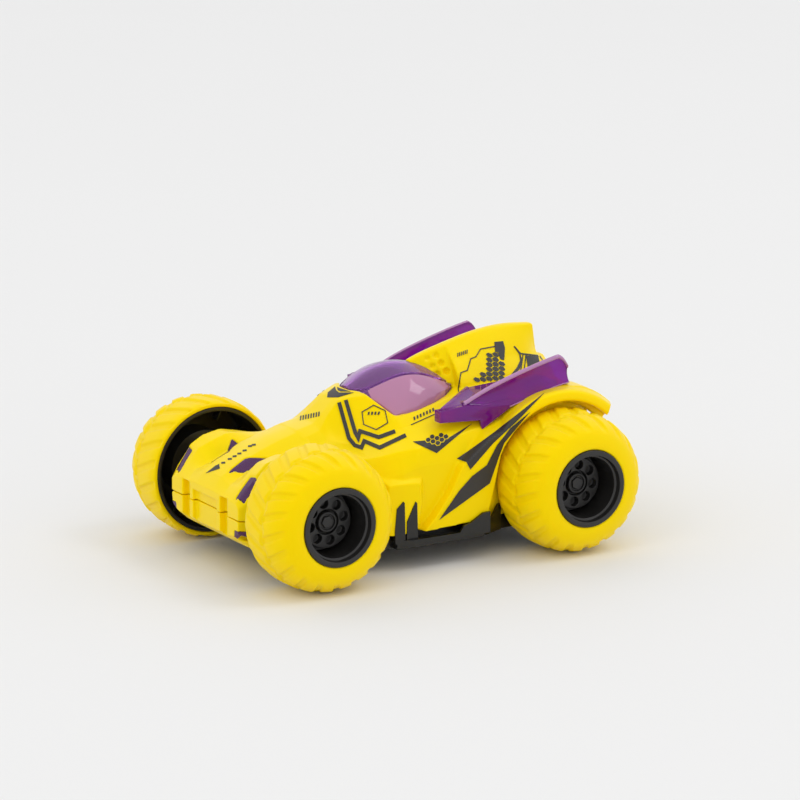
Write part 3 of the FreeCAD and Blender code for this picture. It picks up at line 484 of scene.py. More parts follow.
def shell_solid():
    """The whole outer form of the upper body, before its holes."""
    body = car_cage("upper_body", HULL, HULL_LINES, HULL_RINGS)
    nose = car_cage("nose", NOSE, NOSE_LINES, NOSE_RINGS)
    tail = car_cage("tail", DORSAL, {1: 0.7, 2: 0.8, 3: 0.4, 4: 1.0}, {1: 0.9, 2: 0.95, 6: 1.0})
    panel = side_cage("panel", PANEL_INNER, PANEL_OUTER, PANEL_Y, 1.0, 1)
    pod = side_cage("pod", POD_INNER, POD_OUTER, POD_Y, 0.8, 2)
    fender = cage("fender", fender_rings(FENDER_START, 13, FENDER_SECTION),
                  {0: 1.0, 1: 1.0, 3: 0.5, 5: 0.5, 6: 0.4})
    inner = cage("fender_inner", fender_rings(FENDER_INNER_START, 6, FENDER_INNER),
                 {i: 1.0 for i in range(len(FENDER_INNER))})
    sides = []
    for piece in (pod, panel, fender, inner):
        sides += [piece, mirror_copy(piece, f"{piece.name}_right")]
    return combine(body, [nose, tail] + sides, "UNION")


def spine(name):
    """The ridge that runs forward from the tail, over the canopy."""
    return car_cage(name, SPINE, {1: 0.7, 2: 0.6, 3: 0.8, 4: 1.0})


def spine_pits():
    """Nine shallow six-sided pits on each side of the spine."""
    pits = []
    for row in range(3):
        for k in range(3):
            x, z = -14.8 - 4.2 * k - 1.4 * row, 77.2 - 3.3 * row + 0.7 * k
            side = 2.4 + 0.5 * (79.4 - z) - 0.09 * (x + 18)
            pits.append(prism("pit", polygon(x, z, PIT_R, 6), side - PIT_DEPTH, side + 9))
    return pits + [mirror_copy(pit, "pit_right") for pit in pits]


def inner_stations(stations, first_wall, last_wall, drop=WALL):
    """The same stations set in by the wall and run out through the open underside."""
    inner = []
    last = len(stations) - 1
    for k, (x, half) in enumerate(stations):
        shift = first_wall if k == 0 else -last_wall if k == last else 0.0
        section = [(max(y - drop, 0.0) if y else 0.0, z - drop) for y, z in half[:-1]]
        inner.append((x + shift, section + [(half[-1][0] - WALL, 8.0)]))
    return inner


def hollow_forms():
    """What is taken out of the upper body to leave its walls."""
    hull = car_cage("hull_hollow", inner_stations(HULL, WALL, WALL), HULL_LINES, HULL_RINGS)
    nose = car_cage("nose_hollow", inner_stations(NOSE, -WALL, 5.8, 2.8), NOSE_LINES, NOSE_RINGS)
    return [hull, nose]


def windows():
    """The openings for the canopy, the hood lamps and the corner lamps."""
    lamps = [block_up("lamp_hole", HOOD_LAMP, 36, 60), block_up("lamp_hole", UPPER_LAMP, 33.4, 60)]
    return lamps + [mirror_copy(lamp, "lamp_hole_right") for lamp in lamps] + [
        block_up("canopy_hole", both_sides(CANOPY_HOLE), 52, 90)]


def pockets(low, high):
    """The recess between the two upright ribs of the nose and the pockets outboard of them."""
    cuts = [slab("recess", (84.3, -10.2, low), (90, 10.2, high - 2.5))]
    for y0, y1 in ((13.2, 19.4), (-19.4, -13.2)):
        cuts.append(slab("pocket", (82.8, y0, low), (90, y1, high)))
    return cuts


def refined(obj, voxel, keep):
    """One even skin with softly rounded edges."""
    modified(obj, "REMESH", mode="VOXEL", voxel_size=voxel * MM)
    modified(obj, "SMOOTH", factor=0.5, iterations=4)
    return modified(obj, "DECIMATE", ratio=keep)


def upper_body():
    """The moulded upper body: a thin rounded skin with holes for canopy, lamps, axles and wheels."""
    shell = shell_solid()
    lamps = lamp_lenses(shell)
    arch = round_bar("arch", REAR_X, AXLE_Z, ARCH_R, 38.4, 43.4, 128)
    arch = combine(arch, [round_bar("arch_lip", REAR_X, AXLE_Z, ARCH_LIP_R, 43.0, 60, 128)], "UNION")
    cuts = hollow_forms() + [arch, mirror_copy(arch, "arch_right")]
    cuts += [round_bar("axle_hole", x, AXLE_Z, AXLE_HOLE_R, -60, 60, 48) for x in (FRONT_X, REAR_X)]
    combine(shell, cuts + windows() + pockets(26, 34.4), "DIFFERENCE")
    combine(shell, [spine("spine")], "UNION")
    combine(shell, spine_pits(), "DIFFERENCE")
    refined(shell, 0.45, 0.35)
    painted(shell, YELLOW)
    return smooth_shaded(shell), lamps


def lowered(obj, name, drop):
    """A copy of the object moved down and back by a few tenths of a millimetre."""
    twin = linked(name, obj.data.copy())
    twin.data.transform(Matrix.Translation(mm(-0.7 * drop, 0, -drop)))
    return twin


def lamp_lenses(solid):
    """Thin clear lenses that follow the body's own surface, set just below it."""
    made = []
    for name, outline, foot in (("hood", HOOD_LAMP, 36), ("corner", UPPER_LAMP, 33.6)):
        centre = Vector((sum(x for x, y in outline), sum(y for x, y in outline))) / len(outline)
        inset = [tuple(centre + (Vector(p) - centre) * 0.965) for p in outline]
        window = block_up("window", inset, foot, 60)
        windows_both = combine(window, [mirror_copy(window, "window_right")], "UNION")
        lens = lowered(solid, f"{name}_lens", 0.3)
        combine(lens, [windows_both], "INTERSECT")
        combine(lens, [lowered(solid, "under", 1.5)], "DIFFERENCE")
        painted(lens, LAMP_PURPLE)
        made.append(smooth_shaded(lens, 30))
    return made


body, lenses = upper_body()
fit(body, "upper_body_shell")
fit(lenses[0], "hood_lamp_lenses")


# Bumper ------------------------------------------------------------

BUMPER = [
    (62.5, [(0, 26.9), (15, 26.9), (31, 26.9), (31, 19), (29, 11.6)]),
    (72, [(0, 26.9), (15, 26.9), (33, 26.9), (32, 19), (29, 12.0)]),
    (80, [(0, 26.9), (15, 26.9), (32, 26.9), (31, 20), (27, 14.6)]),
    (86, [(0, 26.9), (15, 26.9), (29, 26.9), (28.5, 22), (24, 19.6)]),
]
LOWER_LAMP = [(86.4, 25.2), (86.4, 30.5), (79.6, 33.5), (79.6, 26.8)]


def front_bumper():
    """The lower nose: a rounded chin with a recessed grille between two upright ribs."""
    chin = car_cage("front_chin", BUMPER, {1: 0.3, 2: 0.9, 3: 0.6, 4: 0.85}, {2: 0.6})
    window = block_up("lamp_window", LOWER_LAMP, 18.2, 22.8)
    low_lens = lowered(chin, "low_lens", 0.3)
    pane = block_up("pane", [(x - 0.1, y * 0.99) for x, y in LOWER_LAMP], 18.4, 22.6)
    combine(low_lens, [combine(pane, [mirror_copy(pane, "pane_right")], "UNION")], "INTERSECT")
    combine(low_lens, [lowered(chin, "under", 2.2)], "DIFFERENCE")
    rise = (-2.0, -2.0, -2.0, 0.0, WALL)
    inside = [(x - 5.6, [(y * 0.92, z + up) for (y, z), up in zip(half, rise)]) for x, half in BUMPER]
    inside[0] = (56.0, inside[0][1])
    hollow = car_cage("chin_hollow", inside, {2: 0.8, 4: 0.8})
    cuts = [hollow, window, mirror_copy(window, "lamp_window_right")]
    cuts += pockets(17.5, 30.0)
    combine(chin, cuts, "DIFFERENCE")
    refined(chin, 0.4, 0.4)
    painted(chin, YELLOW)
    return smooth_shaded(chin), smooth_shaded(painted(low_lens, LAMP_PURPLE), 30)


chin, chin_lens = front_bumper()
corner_lens = joined(lenses[1], [chin_lens])
fit(corner_lens, "corner_lamp_lenses")
fit(chin, "front_bumper")


# Canopy ------------------------------------------------------------

CANOPY = [
    (-27, [(0, 70.0), (9, 67.4), (12, 66), (14, 63.5)]),
    (-20, [(0, 74.6), (12, 70.2), (16.6, 67.0), (19.6, 63)]),
    (-12, [(0, 77.4), (12.4, 74.0), (19, 69.0), (23, 61.8)]),
    (-2, [(0, 78.8), (12.3, 75.5), (20, 69.0), (25, 60.3)]),
    (8, [(0, 75.6), (11.3, 72.6), (18.8, 66.4), (24.3, 59.2)]),
    (15, [(0, 71.8), (9.3, 69.2), (13.2, 66.6), (16.8, 62)]),
    (21, [(0, 69.2), (2, 69), (4, 68.4), (6, 66)]),
]


def grooved(half):
    """A canopy section with a narrow groove between its roof band and its side window."""
    top, edge, side, foot = [Vector(p) for p in half]
    inward = Vector((-0.35, -0.94))
    up_roof = (top - edge).normalized()
    down_side = (side - edge).normalized()
    mid = (top + edge) / 2 + Vector((0, 0.35 * (top - edge).length / 12))
    return [tuple(p) for p in (top, mid, edge + up_roof * 0.7, edge + inward * 0.9 + up_roof * 0.3,
                               edge + inward * 0.9 + down_side * 0.3, edge + down_side * 0.7, side, foot)]


def canopy_cage(name, drop):
    """The canopy's outer form, lowered and narrowed by the wall it leaves."""
    stations = []
    for x, half in CANOPY:
        section = grooved(half)
        narrower, shorter = 1 - drop / 25, 1 - drop / 30
        stations.append((x * shorter, [(y * narrower, z - drop) for y, z in section]))
    creases = {2: 0.75, 3: 0.75, 4: 0.75, 5: 0.75, 6: 0.15, 7: 1.0}
    return car_cage(name, stations, creases, {}, levels=3)


def gets_painted_reflection(place):
    """Whether a place on the canopy lies in one of its side windows, below the groove, where the pale lilac
    of a painted reflection goes.
    """
    for (xa, a), (xb, b) in zip(CANOPY, CANOPY[1:]):
        if xa <= place.x <= xb:
            t = (place.x - xa) / (xb - xa)
            edge = Vector(a[1]).lerp(Vector(b[1]), t)
            return abs(place.y) > edge.x + 0.1 and place.z < edge.y - 0.5 and -23 < place.x < 14
    return False


def canopy():
    """The clear canopy, a thin-walled dome cut to the opening in the roof, its side windows in a paler lilac
    that is a painted reflection.
    """
    dome = canopy_cage("canopy_dome", 0.0)
    combine(dome, [canopy_cage("canopy_inside", 1.3)], "DIFFERENCE")
    edge = both_sides([(x * 0.995, y - 0.15) for x, y in CANOPY_HOLE])
    combine(dome, [block_up("canopy_edge", edge, 50, 90)], "INTERSECT")
    combine(dome, [spine("spine_room")], "DIFFERENCE")
    painted(dome, PURPLE)
    # The side windows get the paler lilac: a painted reflection.
    dome.data.materials.append(WINDOW_PAINTED_REFLECTION)
    for face in dome.data.polygons:
        if gets_painted_reflection(face.center / MM):
            face.material_index = 1
    return smooth_shaded(dome, 35)


glass = canopy()
fit(glass, "canopy")


# Wings -------------------------------------------------------------

WING_RAIL = [(-16.5, 65.8), (-22, 68.3), (-28, 70.9), (-38, 74.2), (-47.8, 77.0), (-57.3, 79.5), (-63, 80.7),
             (-65.4, 79.4), (-67.4, 76.0)]
WING_LIP = [64.2, 63.4, 62.4, 61.8, 64.4, 67.0, 68.2, 68.4, 68.8]
WING_WALL = [(-4.2, 59.0), (-4.2, 63.8), (-17, 65.0), (-38, 62.4), (-38, 61.2), (-24.8, 53.8), (-23.9, 57.8)]
WING_FLOOR = [(-6, 36.2, 63.4, 63.6), (-28, 20.0, 63.2, 66.0), (-45, 20.5, 64.2, 67.2),
              (-62, 21.5, 68.0, 68.6)]


def bar(name, start, end, radius, sides=10):
    """A straight round bar between two points."""
    start, end = Vector(start), Vector(end)
    across = (end - start).cross(Vector((0, 0, 1))).normalized()
    up = across.cross(end - start).normalized()
    rings = []
    for centre in (start, end):
        rings.append([tuple(centre + across * a + up * b) for a, b in polygon(0, 0, radius, sides)])
    return cage(name, rings, {}, levels=0)


def wing():
    """The left wing: a hollowed clear panel between a round rail and a lip, its outer wall and its scoop,
    with the rail and a thin bar along the lip in a lighter lilac that is a painted highlight.
    """
    panel, rail = [], []
    for (x, top), lip in zip(WING_RAIL, WING_LIP):
        mid = (top + lip) / 2
        panel.append([(x, 37.6, top), (x, 35.8, mid), (x, 38.5, lip), (x, 37.3, lip - 0.9),
                      (x, 34.2, mid - 0.2), (x, 35.9, top)])
        rail.append([(x, 36.8 + 1.2 * y, top - 0.6 + 1.1 * z) for y, z in polygon(0, 0, 1, 6)])
    shape = cage("wing", panel, {0: 0.8, 2: 0.9, 3: 0.9, 5: 0.8}, {6: 0.8}, levels=2)
    parts = [prism("wing_wall", WING_WALL, 37.1, 38.5), slab("wing_end", (-7, 34, 59.0), (-4.2, 38.5, 63.8))]
    floor = [[(x, 37.4, out), (x, 37.4, out + 1.3), (x, y, high + 1.3), (x, y, high)]
             for x, y, out, high in WING_FLOOR]
    parts.append(cage("wing_floor", floor, {}, levels=0))
    parts.append(bar("scoop_rim", (-5.4, 37.0, 63.4), (-28, 20.6, 67.0), 1.15))
    combine(shape, parts, "UNION")
    modified(shape, "BEVEL", width=0.25 * MM, segments=2, limit_method="ANGLE", angle_limit=math.radians(50))
    # The rail is painted in the lighter lilac, a painted highlight along its top.
    highlit_rail = painted(cage("wing_rail", rail, {}, {6: 0.8}, levels=2), RAIL_PAINTED_HIGHLIGHT)
    # A thin bar along the lower lip in the same lighter lilac: a painted highlight line.
    edge = [[(x, y, z) for y, z in polygon(38.5, low, 0.4, 4)]
            for (x, _), low in list(zip(WING_RAIL, WING_LIP))[3:]]
    lip = painted(cage("wing_lip_highlight", edge, {}, levels=2), RAIL_PAINTED_HIGHLIGHT)
    return joined(painted(shape, WING_PURPLE), [highlit_rail, lip])


def wings():
    """Both wings, each in the place of its CAD node."""
    left = wing()
    for side, piece in (("right", mirror_copy(left, "right_wing_look")), ("left", left)):
        fit(smooth_shaded(piece, 35), f"{side}_wing")


wings()


# Printed marks -----------------------------------------------------

PRINT_FROM = Vector((0.49, 0.84, 0.24)).normalized()
PRINT_GRID = 0.8
SWEEP_HIGH = [(-10, 42.5, 44), (-16.5, 41.5, 46.5), (-28, 42.5, 53), (-53.5, 41, 66.5), (-38.5, 45.5, 58),
              (-26, 45, 49), (-16.5, 42.5, 38.5), (-14.5, 42.5, 42)]
SWEEP_LOW = [(-1.5, 42.5, 19), (-11, 42.5, 30), (-16.5, 44, 36), (-23, 45, 40), (-28, 45, 48),
             (-34, 45.5, 54.5), (-43.5, 46, 60.5), (-37, 46, 54.5), (-31.5, 45, 48.5), (-29, 45, 43),
             (-24.5, 45, 32)]
DOOR_MARK = [(8, 37, 52.5), (-0.5, 42, 47.5), (-21.5, 35.5, 56), (-7, 40, 52.5)]
DOOR_CELLS = ((-1, 37.5, 53.5), (2.0, -0.65), (1.7, 1.3),
              [(0, -1), (0, 0), (1, -1), (1, 0), (2, -1), (1, 1), (2, 0), (2, 1)])
BEND_OUTER = [(30, 14, 67), (29, 20.5, 53), (28, 23.5, 50.5), (26.5, 26.5, 50), (24, 24.5, 52),
              (21, 32, 50.5), (9, 33, 54.5)]
BEND_INNER = [(26.5, 13.5, 67.5), (26, 20.5, 55), (25.5, 22, 53), (24, 21, 55.5), (18.5, 27, 53.5),
              (11.5, 28.5, 55.5)]
BADGE = [(21, 17.5, 62.5), (16, 18.5, 65), (12.5, 22, 63), (13, 25, 58.5), (18, 24, 56), (22, 20.5, 58)]
DECK_LINE = [(4.5, 29.5, 57.5), (-8, 27.5, 60)]
TAIL_LINE = [(-25.5, 18, 65.5), (-27.5, 14.5, 66), (-30, 12.5, 72), (-33.5, 12, 72.5), (-37, 9, 76.5),
             (-39.5, 9, 77), (-43, 7, 79.5), (-50, 7.5, 80)]
TAIL_BLOCK = [(-50.5, 6, 81.5), (-54.5, 6.5, 81.5), (-54.5, 8, 79), (-52, 11.5, 74.5), (-50.5, 11, 75),
              (-50.5, 9, 77.5), (-49, 9, 78)]
TAIL_CELLS = ((-46, 9.4, 77), (2.65, 0.2), (0.05, 2.0),
              [(0, 0), (1, 0), (0, -1), (1, -1), (0, -2), (1, -2), (2, -2), (0, -3), (1, -3), (2, -3),
               (-1, -4), (0, -4), (1, -4), (2, -4), (-2, -5), (-1, -5), (0, -5), (1, -5), (2, -5)])
TAIL_FORK = [(-59.1, 8, 79), (-61, 10, 76), (-70.5, 10.5, 74), (-72, 12, 71), (-72, 13, 70)]
TAIL_HORN = [(-59.1, 8, 79), (-61.2, 9.6, 76), (-61.3, 11, 73.2), (-59.6, 12.2, 70.6), (-57.3, 13, 68.5),
             (-54.1, 13, 68), (-58, 12, 70.8), (-60.2, 11, 73.2), (-60.6, 9.8, 75.6)]
TAIL_RUNGS = [((-62.4, 10, 75.4), (-59.2, 13, 69)), ((-63.8, 10, 75.1), (-61, 13, 69.4))]
TAIL_PLATE = [(-63.5, 10.5, 75), (-69.5, 11, 74), (-69, 13, 71.5), (-62, 14.5, 70.5)]
ROOF_MARK = [(26.5, -1.5, 67.5), (19.5, -7.5, 68), (22.5, -1.5, 68), (22.5, 1, 67.5), (19, 7.5, 68.5),
             (25, 4.5, 66.5), (28, 0.5, 66)]
ROOF_INSET = [(19.5, -6, 68), (19.5, 5.5, 68.5), (22, 1.5, 68), (22, -1, 68)]
HOOD_ARROW = [(83, -4.5, 39.5), (79, -2.5, 43), (79.5, 1.5, 42.5), (78, -2, 43.5)]
HOOD_DASHES = [(76.5, -1, 44), (74, 0, 45.5), (72, 0.5, 46.5), (70, 1, 47.5), (67.5, 1, 48.5),
               (65, 1, 50), (63.5, 1.5, 50.5)]


def print_axes():
    """The two directions across the way the prints face."""
    across = Vector((0, 0, 1)).cross(PRINT_FROM).normalized()
    return across, PRINT_FROM.cross(across)


def flat(points):
    """Points as pairs in the plane across the way the prints face."""
    across, up = print_axes()
    return [Vector((across.dot(Vector(p)), up.dot(Vector(p)))) for p in points]


def stroke(points, width, closed=False):
    """The quads of a mitred line of a given width along the points."""
    line = flat(points)
    count = len(line)
    sides = []
    for i, p in enumerate(line):
        before = line[i - 1] if i or closed else None
        after = line[(i + 1) % count] if i < count - 1 or closed else None
        ways = [(b - a).normalized() for a, b in ((before, p), (p, after)) if None not in (a, b)]
        normals = [Vector((-w.y, w.x)) for w in ways]
        mean = sum(normals, Vector((0, 0))).normalized()
        reach = min(width / 2 / max(mean.dot(normals[0]), 0.3), 1.6 * width)
        sides.append((p + mean * reach, p - mean * reach))
    nexts = sides[1:] + (sides[:1] if closed else [])
    return [[a[0], b[0], b[1], a[1]] for a, b in zip(sides, nexts)]


def honeycomb(cells, size):
    """Six-sided cells on a slanted grid: a first centre, the grid's two steps and the cells' places."""
    first, right, up, places = cells
    origin, a, b = flat([first])[0], Vector(right), Vector(up)
    corners = [(a + b) / 3, (2 * b - a) / 3, (b - 2 * a) / 3, -(a + b) / 3, (a - 2 * b) / 3, (2 * a - b) / 3]
    return [[origin + a * i + b * j + c * size for c in corners] for i, j in places]


def hatch(start, end, count, height, lean):
    """A row of short slanted bars from one point to another."""
    a, b = flat([start, end])
    along = (b - a).normalized()
    rise = Vector((-along.y, along.x)) * height + along * lean
    step = (b - a) / count
    bars = [(a + step * k, a + step * (k + 0.5)) for k in range(count)]
    return [[p, q, q + rise, p + rise] for p, q in bars]


def laid(name, outlines, tree, lift, material):
    """Thin printed shapes laid on the surface the tree holds, a lift in mm above it."""
    across, up = print_axes()
    work = bmesh.new()
    for outline in outlines:
        corners = [(across * p.x + up * p.y) * MM for p in outline]
        work.faces.new([work.verts.new(c) for c in corners])
    bmesh.ops.triangulate(work, faces=work.faces)
    for axis in (across, up):
        reach = [axis.dot(v.co) / MM for v in work.verts]
        for k in range(math.ceil(min(reach) / PRINT_GRID), math.floor(max(reach) / PRINT_GRID) + 1):
            everything = work.verts[:] + work.edges[:] + work.faces[:]
            bmesh.ops.bisect_plane(work, geom=everything, dist=1e-7, plane_co=axis * k * PRINT_GRID * MM,
                                   plane_no=axis)
    missed = []
    for vertex in work.verts:
        hit = tree.ray_cast(vertex.co + PRINT_FROM * 0.2, -PRINT_FROM)[0]
        if hit is None:
            missed.append(vertex)
        else:
            vertex.co = hit + PRINT_FROM * lift * MM
    bmesh.ops.delete(work, geom=missed, context="VERTS")
    torn = [f for f in work.faces if max(e.calc_length() for e in f.edges) > 4 * PRINT_GRID * MM]
    bmesh.ops.delete(work, geom=torn, context="FACES")
    mesh = bpy.data.meshes.new(name)
    work.to_mesh(mesh)
    work.free()
    piece = outward(linked(name, mesh))
    modified(piece, "SOLIDIFY", thickness=0.08 * MM, offset=0.0)
    return painted(piece, material)


def side_marks():
    """Everything printed on one side of the car."""
    marks = [flat(SWEEP_HIGH), flat(SWEEP_LOW), flat(DOOR_MARK), flat(TAIL_BLOCK), flat(TAIL_PLATE),
             flat(TAIL_HORN)]
    for line, width, closed in ((BEND_OUTER, 1.6, False), (BEND_INNER, 1.6, False), (BADGE, 0.4, True),
                                (DECK_LINE, 0.35, False), (TAIL_LINE, 0.45, False), (TAIL_FORK, 0.6, False)):
        marks += stroke(line, width, closed)
    for rung in TAIL_RUNGS:
        marks += stroke(rung, 0.45)
    marks += honeycomb(TAIL_CELLS, 0.85)
    marks += hatch((-31.5, 7, 77.5), (-37, 7, 78.5), 6, 1.5, 0.6)
    marks += hatch((2.5, 28.5, 59), (-9, 27, 61.5), 7, 1.3, 0.4)
    marks += hatch((19.5, 19.5, 61.5), (14.5, 22, 61.5), 4, 1.3, 0.3)
    return marks


def top_marks():
    """The marks on the centre line: the arrowhead behind the cowl's peak and the dashes down the nose."""
    marks = [flat(ROOF_MARK), flat(ROOF_INSET), flat(HOOD_ARROW)]
    for point in HOOD_DASHES:
        x, y, z = point
        marks += stroke([(x + 0.5, y - 0.8, z - 0.2), (x - 0.5, y + 0.8, z + 0.2)], 0.7)
    marks += hatch((38.5, -4, 56.5), (33, 4, 59.5), 8, 1.8, 0.5)
    return marks


def prints(base):
    """The black marks of both sides and the centre, and the yellow rings round the door's cells."""
    tree = BVHTree.FromObject(base, bpy.context.evaluated_depsgraph_get())
    black = laid("side_print", side_marks(), tree, 0.28, PRINT)
    rings = laid("cell_ring", honeycomb(DOOR_CELLS, 1.12), tree, 0.35, YELLOW)
    cells = laid("cell_print", honeycomb(DOOR_CELLS, 0.84), tree, 0.42, PRINT)
    black = joined(black, [cells])
    pieces = [laid("top_print", top_marks(), tree, 0.2, PRINT), mirror_copy(black, "side_print_right"),
              mirror_copy(rings, "cell_ring_right"), black, rings]
    for piece in pieces:
        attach(piece, "chassis")


prints(body)


# Wheels ------------------------------------------------------------

LUGS = 20
LUG_SLANT = 0.42
LUG_DEPTH = 0.95
ROW_Y = 54.6
TYRE_OUTSIDE = [(27.2, 39.7), (28.4, 39.7), (29.35, 40.9), (29.85, 43.2), (30.0, 46.5), (30.0, 50.0),
                (29.9, 53.0), (29.6, 56.0), (28.95, 59.0), (27.7, 62.0), (25.7, 64.7), (23.0, 66.5),
                (20.0, 67.35), (17.6, 67.5), (16.7, 67.2)]


def spline(points, steps):
    """A smooth line through the points, with a number of steps between each pair."""
    points = [Vector(p) for p in points]
    line = []
    for i in range(len(points) - 1):
        a, b = points[max(i - 1, 0)], points[i]
        c, d = points[i + 1], points[min(i + 2, len(points) - 1)]
        for k in range(steps):
            t = k / steps
            line.append(((2 * b) + (c - a) * t + (2 * a - 5 * b + 4 * c - d) * t * t
                         + (3 * b - a - 3 * c + d) * t ** 3) / 2)
    return line + [points[-1]]


def groove_depth(angle, radius, y, along):
    """How far the tread falls below its lugs. Along is the distance over the tyre from the row line."""
    outer = along > 0
    turn = LUGS * angle / (2 * math.pi) - LUG_SLANT * abs(along) / (2 * math.pi * 30 / LUGS)
    turn = (turn + (0.5 if outer else 0.0)) % 1.0
    edge = min(turn, 1 - turn)
    cut = 1 - ramp(edge, 0.13, 0.24)
    cut = max(cut, 0.32 * turn)
    zigzag = abs(((LUGS * angle / (2 * math.pi)) % 1.0) - 0.5) * 2 - 0.5
    between = 0.75 * (1 - ramp(abs(along - 1.6 * zigzag), 0.3, 1.1))
    depth = max(cut, between)
    fade = ramp(radius, 23.6, 27.2) * ramp(y, 39.7, 40.6)
    return LUG_DEPTH * depth * fade


def tyre_mesh():
    """A soft balloon tyre whose lugs meet in a row of arrows and run out over its outer side."""
    line = spline(TYRE_OUTSIDE, 5)
    lengths = [0.0]
    for a, b in zip(line, line[1:]):
        lengths.append(lengths[-1] + (b - a).length)
    start = next(length for p, length in zip(line, lengths) if p[1] >= ROW_Y)
    hidden = [(16.7, 65.2), (22.6, 64.2), (26.2, 61.2), (27.1, 59.2), (27.1, 41.0)]
    steps = LUGS * 20
    points, faces = [], []
    count = len(line) + len(hidden)
    for k in range(steps):
        angle = 2 * math.pi * k / steps
        for i, (radius, y) in enumerate([tuple(p) for p in line]):
            before, after = line[max(i - 1, 0)], line[min(i + 1, len(line) - 1)]
            along = (after - before).normalized()
            depth = groove_depth(angle, radius, y, lengths[i] - start)
            r, w = radius - along[1] * depth, y + along[0] * depth
            points.append((r * math.cos(angle), w, AXLE_Z + r * math.sin(angle)))
        for radius, y in hidden:
            points.append((radius * math.cos(angle), y, AXLE_Z + radius * math.sin(angle)))
    for k in range(steps):
        m = (k + 1) % steps
        for i in range(count):
            j = (i + 1) % count
            faces.append([k * count + i, k * count + j, m * count + j, m * count + i])
    obj = outward(mesh_object("tyre", points, faces, TYRE_YELLOW))
    return smooth_shaded(obj)


RIM_PROFILE = [(1.5, 41.2), (4.2, 41.2), (4.5, 49.4), (15.0, 49.6), (15.2, 60.6), (24.9, 58.2),
               (25.3, 40.6), (25.3, 39.7), (26.9, 39.7), (27.0, 41.0), (27.0, 59.0), (22.4, 63.9),
               (16.5, 65.0), (16.5, 67.6), (16.2, 67.9), (14.2, 67.9), (14.0, 65.9), (13.9, 65.5),
               (13.1, 65.3), (13.0, 64.3), (12.9, 51.4), (1.5, 51.4)]
HUB_PROFILE = [(0.01, 51.0), (11.2, 51.0), (11.2, 56.2), (10.9, 56.6), (5.4, 56.6), (5.3, 54.6), (4.5, 54.6),
               (4.4, 56.9), (4.1, 57.2), (3.4, 57.2), (3.3, 56.2), (0.01, 56.2)]


def rim_mesh():
    """The black wheel: a deep inner cup with short ribs, and an outer dish with a stepped mouth."""
    ring = turned("rim", RIM_PROFILE, 0.0, 128, RIM_BLACK)
    modified(ring, "BEVEL", width=0.22 * MM, segments=2, limit_method="ANGLE", angle_limit=math.radians(28))
    ribs = []
    for k in range(12):
        rib = slab("rib", (19.5, 55.0, AXLE_Z - 0.45), (25.5, 60.0, AXLE_Z + 0.45))
        painted(rib, RIM_BLACK)
        rib.data.transform(about_axle(30 * k))
        modified(rib, "BEVEL", width=0.2 * MM, segments=2)
        ribs.append(rib)
    return smooth_shaded(joined(ring, ribs), 40)


def about_axle(degrees):
    """A turn about the wheel's axle, for a wheel still at x = 0."""
    centre = mm(0, 0, AXLE_Z)
    turn = Matrix.Rotation(math.radians(degrees), 4, "Y")
    return Matrix.Translation(centre) @ turn @ Matrix.Translation(-centre)


def hub_mesh():
    """The drum in the dish: eight round pockets round a sunk ring with a hexagon in it."""
    drum = turned("hub", HUB_PROFILE, 0.0, 128)
    places = polygon(0, AXLE_Z, 7.9, 8)
    combine(drum, [round_bar("pocket", x, z, 2.05, 53.6, 60, 40) for x, z in places], "DIFFERENCE")
    combine(drum, [prism("nut", polygon(0, AXLE_Z, 2.7, 6, 20), 52, 57.3)], "UNION")
    refined(drum, 0.2, 0.3)
    return smooth_shaded(painted(drum, HUB_BLACK))


HUB_TURN = {"front": -34.5, "rear": -8.0}


def wheel_copy(part, end, side, kind, turn=0.0):
    """A copy of a wheel part set at one of the four wheels."""
    name = f"{end}_{side}_{kind}"
    x = FRONT_X if end == "front" else REAR_X
    piece = linked(name + "_look", part.data.copy())
    piece.data.transform(about_axle(turn))
    if side == "right":
        piece.data.transform(Matrix.Scale(-1, 4, Vector((0, 1, 0))))
        piece.data.flip_normals()
    piece.data.transform(Matrix.Translation(mm(x, 0, 0)))
    fit(piece, name, f"{end}_{side}_wheel")


def wheels():
    """The three parts of a wheel, each made once and copied to its four places."""
    kinds = [(tyre_mesh(), "yellow_tyre", "tyre"), (rim_mesh(), "black_rim", "rim"),
             (hub_mesh(), "black_hub", "hub_cap")]
    for part, material_slot, kind in kinds:
        for end in ("front", "rear"):
            for side in ("left", "right"):
                wheel_copy(part, end, side, kind, HUB_TURN[end] if kind == "hub_cap" else 0.0)
        bpy.data.objects.remove(part)


wheels()


# Materials of the parts that keep their CAD form -------------------

def dress(node, material, bevel=0.0):
    """Gives a CAD node its material and, where it shows, softly rounded edges."""
    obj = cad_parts[node]
    obj.data.materials.clear()
    obj.data.materials.append(material)
    if bevel:
        edge = obj.modifiers.new("soft_edges", "BEVEL")
        edge.width, edge.segments, edge.limit_method = bevel * MM, 2, "ANGLE"
        edge.angle_limit = math.radians(35)


SHOWN = {"chassis_pan": (BLACK, 0.3), "battery_door": (BLACK, 0.25), "cockpit_tub": (TUB_BLACK, 0.2),
         "power_switch_body": (BLACK, 0.1), "power_switch_slider": (BLACK, 0.1),
         "chassis_screws": (STEEL, 0), "antenna": (CHIP, 0), "battery_cells": (CELL, 0.3),
         "battery_contacts": (STEEL, 0), "board_components": (CHIP, 0), "circuit_board": (BOARD, 0),
         "front_axle": (STEEL, 0), "front_axle_push_nuts": (STEEL, 0)}
SIDED = {"side_skirt": (BLACK, 0.35), "motor": (STEEL, 0.2), "motor_pinion": (BRASS, 0),
         "idler_gear": (NYLON, 0), "idler_pin": (STEEL, 0), "output_gear": (NYLON, 0),
         "rear_axle": (STEEL, 0), "gearbox_inner_plate": (GREY, 0.15), "gearbox_outer_plate": (GREY, 0.15),
         "gearbox_spacers": (GREY, 0.15), "axle_bushings": (BRASS, 0)}


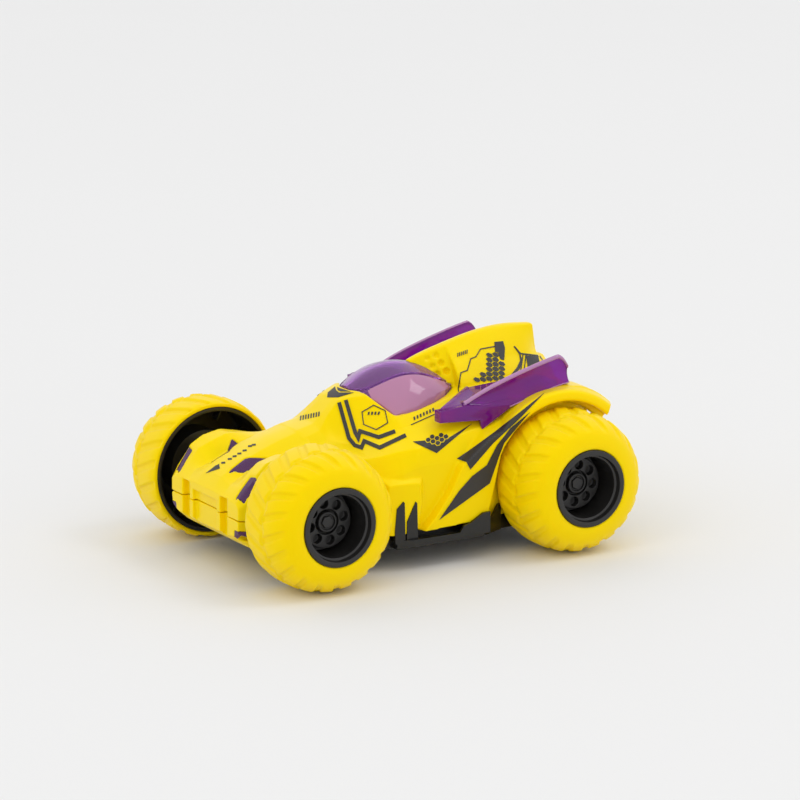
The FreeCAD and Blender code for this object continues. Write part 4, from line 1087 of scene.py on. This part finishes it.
def dress_all():
    """Dresses every part that keeps its CAD form."""
    for node, (material, bevel) in SHOWN.items():
        dress(node, material, bevel)
    for node, (material, bevel) in SIDED.items():
        for side in ("left", "right"):
            dress(f"{side}_{node}", material, bevel)


dress_all()


# Camera, floor and light -------------------------------------------

CAMERA_PLACE = Vector((0.9464, 1.6196, 0.5265))
CAMERA_AZIMUTH, CAMERA_RISE = math.radians(149.5), math.radians(13.93)
LENS, SENSOR_WIDTH = 206.96, 36.0


def make_camera():
    """A long lens at a low three-quarter view of the car's front left."""
    back = Vector((math.sin(CAMERA_AZIMUTH) * math.cos(CAMERA_RISE),
                   -math.cos(CAMERA_AZIMUTH) * math.cos(CAMERA_RISE), math.sin(CAMERA_RISE)))
    data = bpy.data.cameras.new("camera")
    data.lens, data.sensor_width = LENS, SENSOR_WIDTH
    data.clip_end = 100.0
    camera = linked("camera", data)
    camera.rotation_euler = (-back).to_track_quat("-Z", "Y").to_euler()
    camera.location = CAMERA_PLACE
    bpy.context.scene.camera = camera


def make_floor():
    """A wide pale sweep of matt paper."""
    size = 12000.0
    floor = mesh_object("floor", [(-size, -size, 0), (size, -size, 0), (size, size, 0), (-size, size, 0)],
                        [[0, 1, 2, 3]])
    material, tree, surface = new_material("paper")
    tone = mottled(tree, (0.83, 0.83, 0.83), 0.99, 3.0)[-1]
    tree.links.new(tone, surface.inputs["Base Color"])
    surface.inputs["Roughness"].default_value = 0.85
    surface.inputs["Specular IOR Level"].default_value = 0.1
    floor.data.materials.append(material)


def area_light(name, place, size, power):
    """A square white light, in metres, that faces the car."""
    data = bpy.data.lights.new(name, "AREA")
    data.shape, data.size, data.energy = "SQUARE", size, power
    light = linked(name, data)
    light.location = place
    light.rotation_euler = (-Vector(place)).to_track_quat("-Z", "Y").to_euler()


def make_light():
    """A bright even room, an overhead box a little to the left and a softer box ahead."""
    world = bpy.data.worlds.new("studio")
    world.use_nodes = True
    world.node_tree.nodes["Background"].inputs["Color"].default_value = (1, 1, 1, 1)
    world.node_tree.nodes["Background"].inputs["Strength"].default_value = 0.96
    bpy.context.scene.world = world
    area_light("overhead", (-1.47, 0.87, 2.46), 0.9, 8)
    area_light("ahead", (2.01, 0.87, 2.04), 1.0, 4)
    view = bpy.context.scene.view_settings
    view.view_transform = "Standard"
    view.look = "None"


make_camera()
make_floor()
make_light()
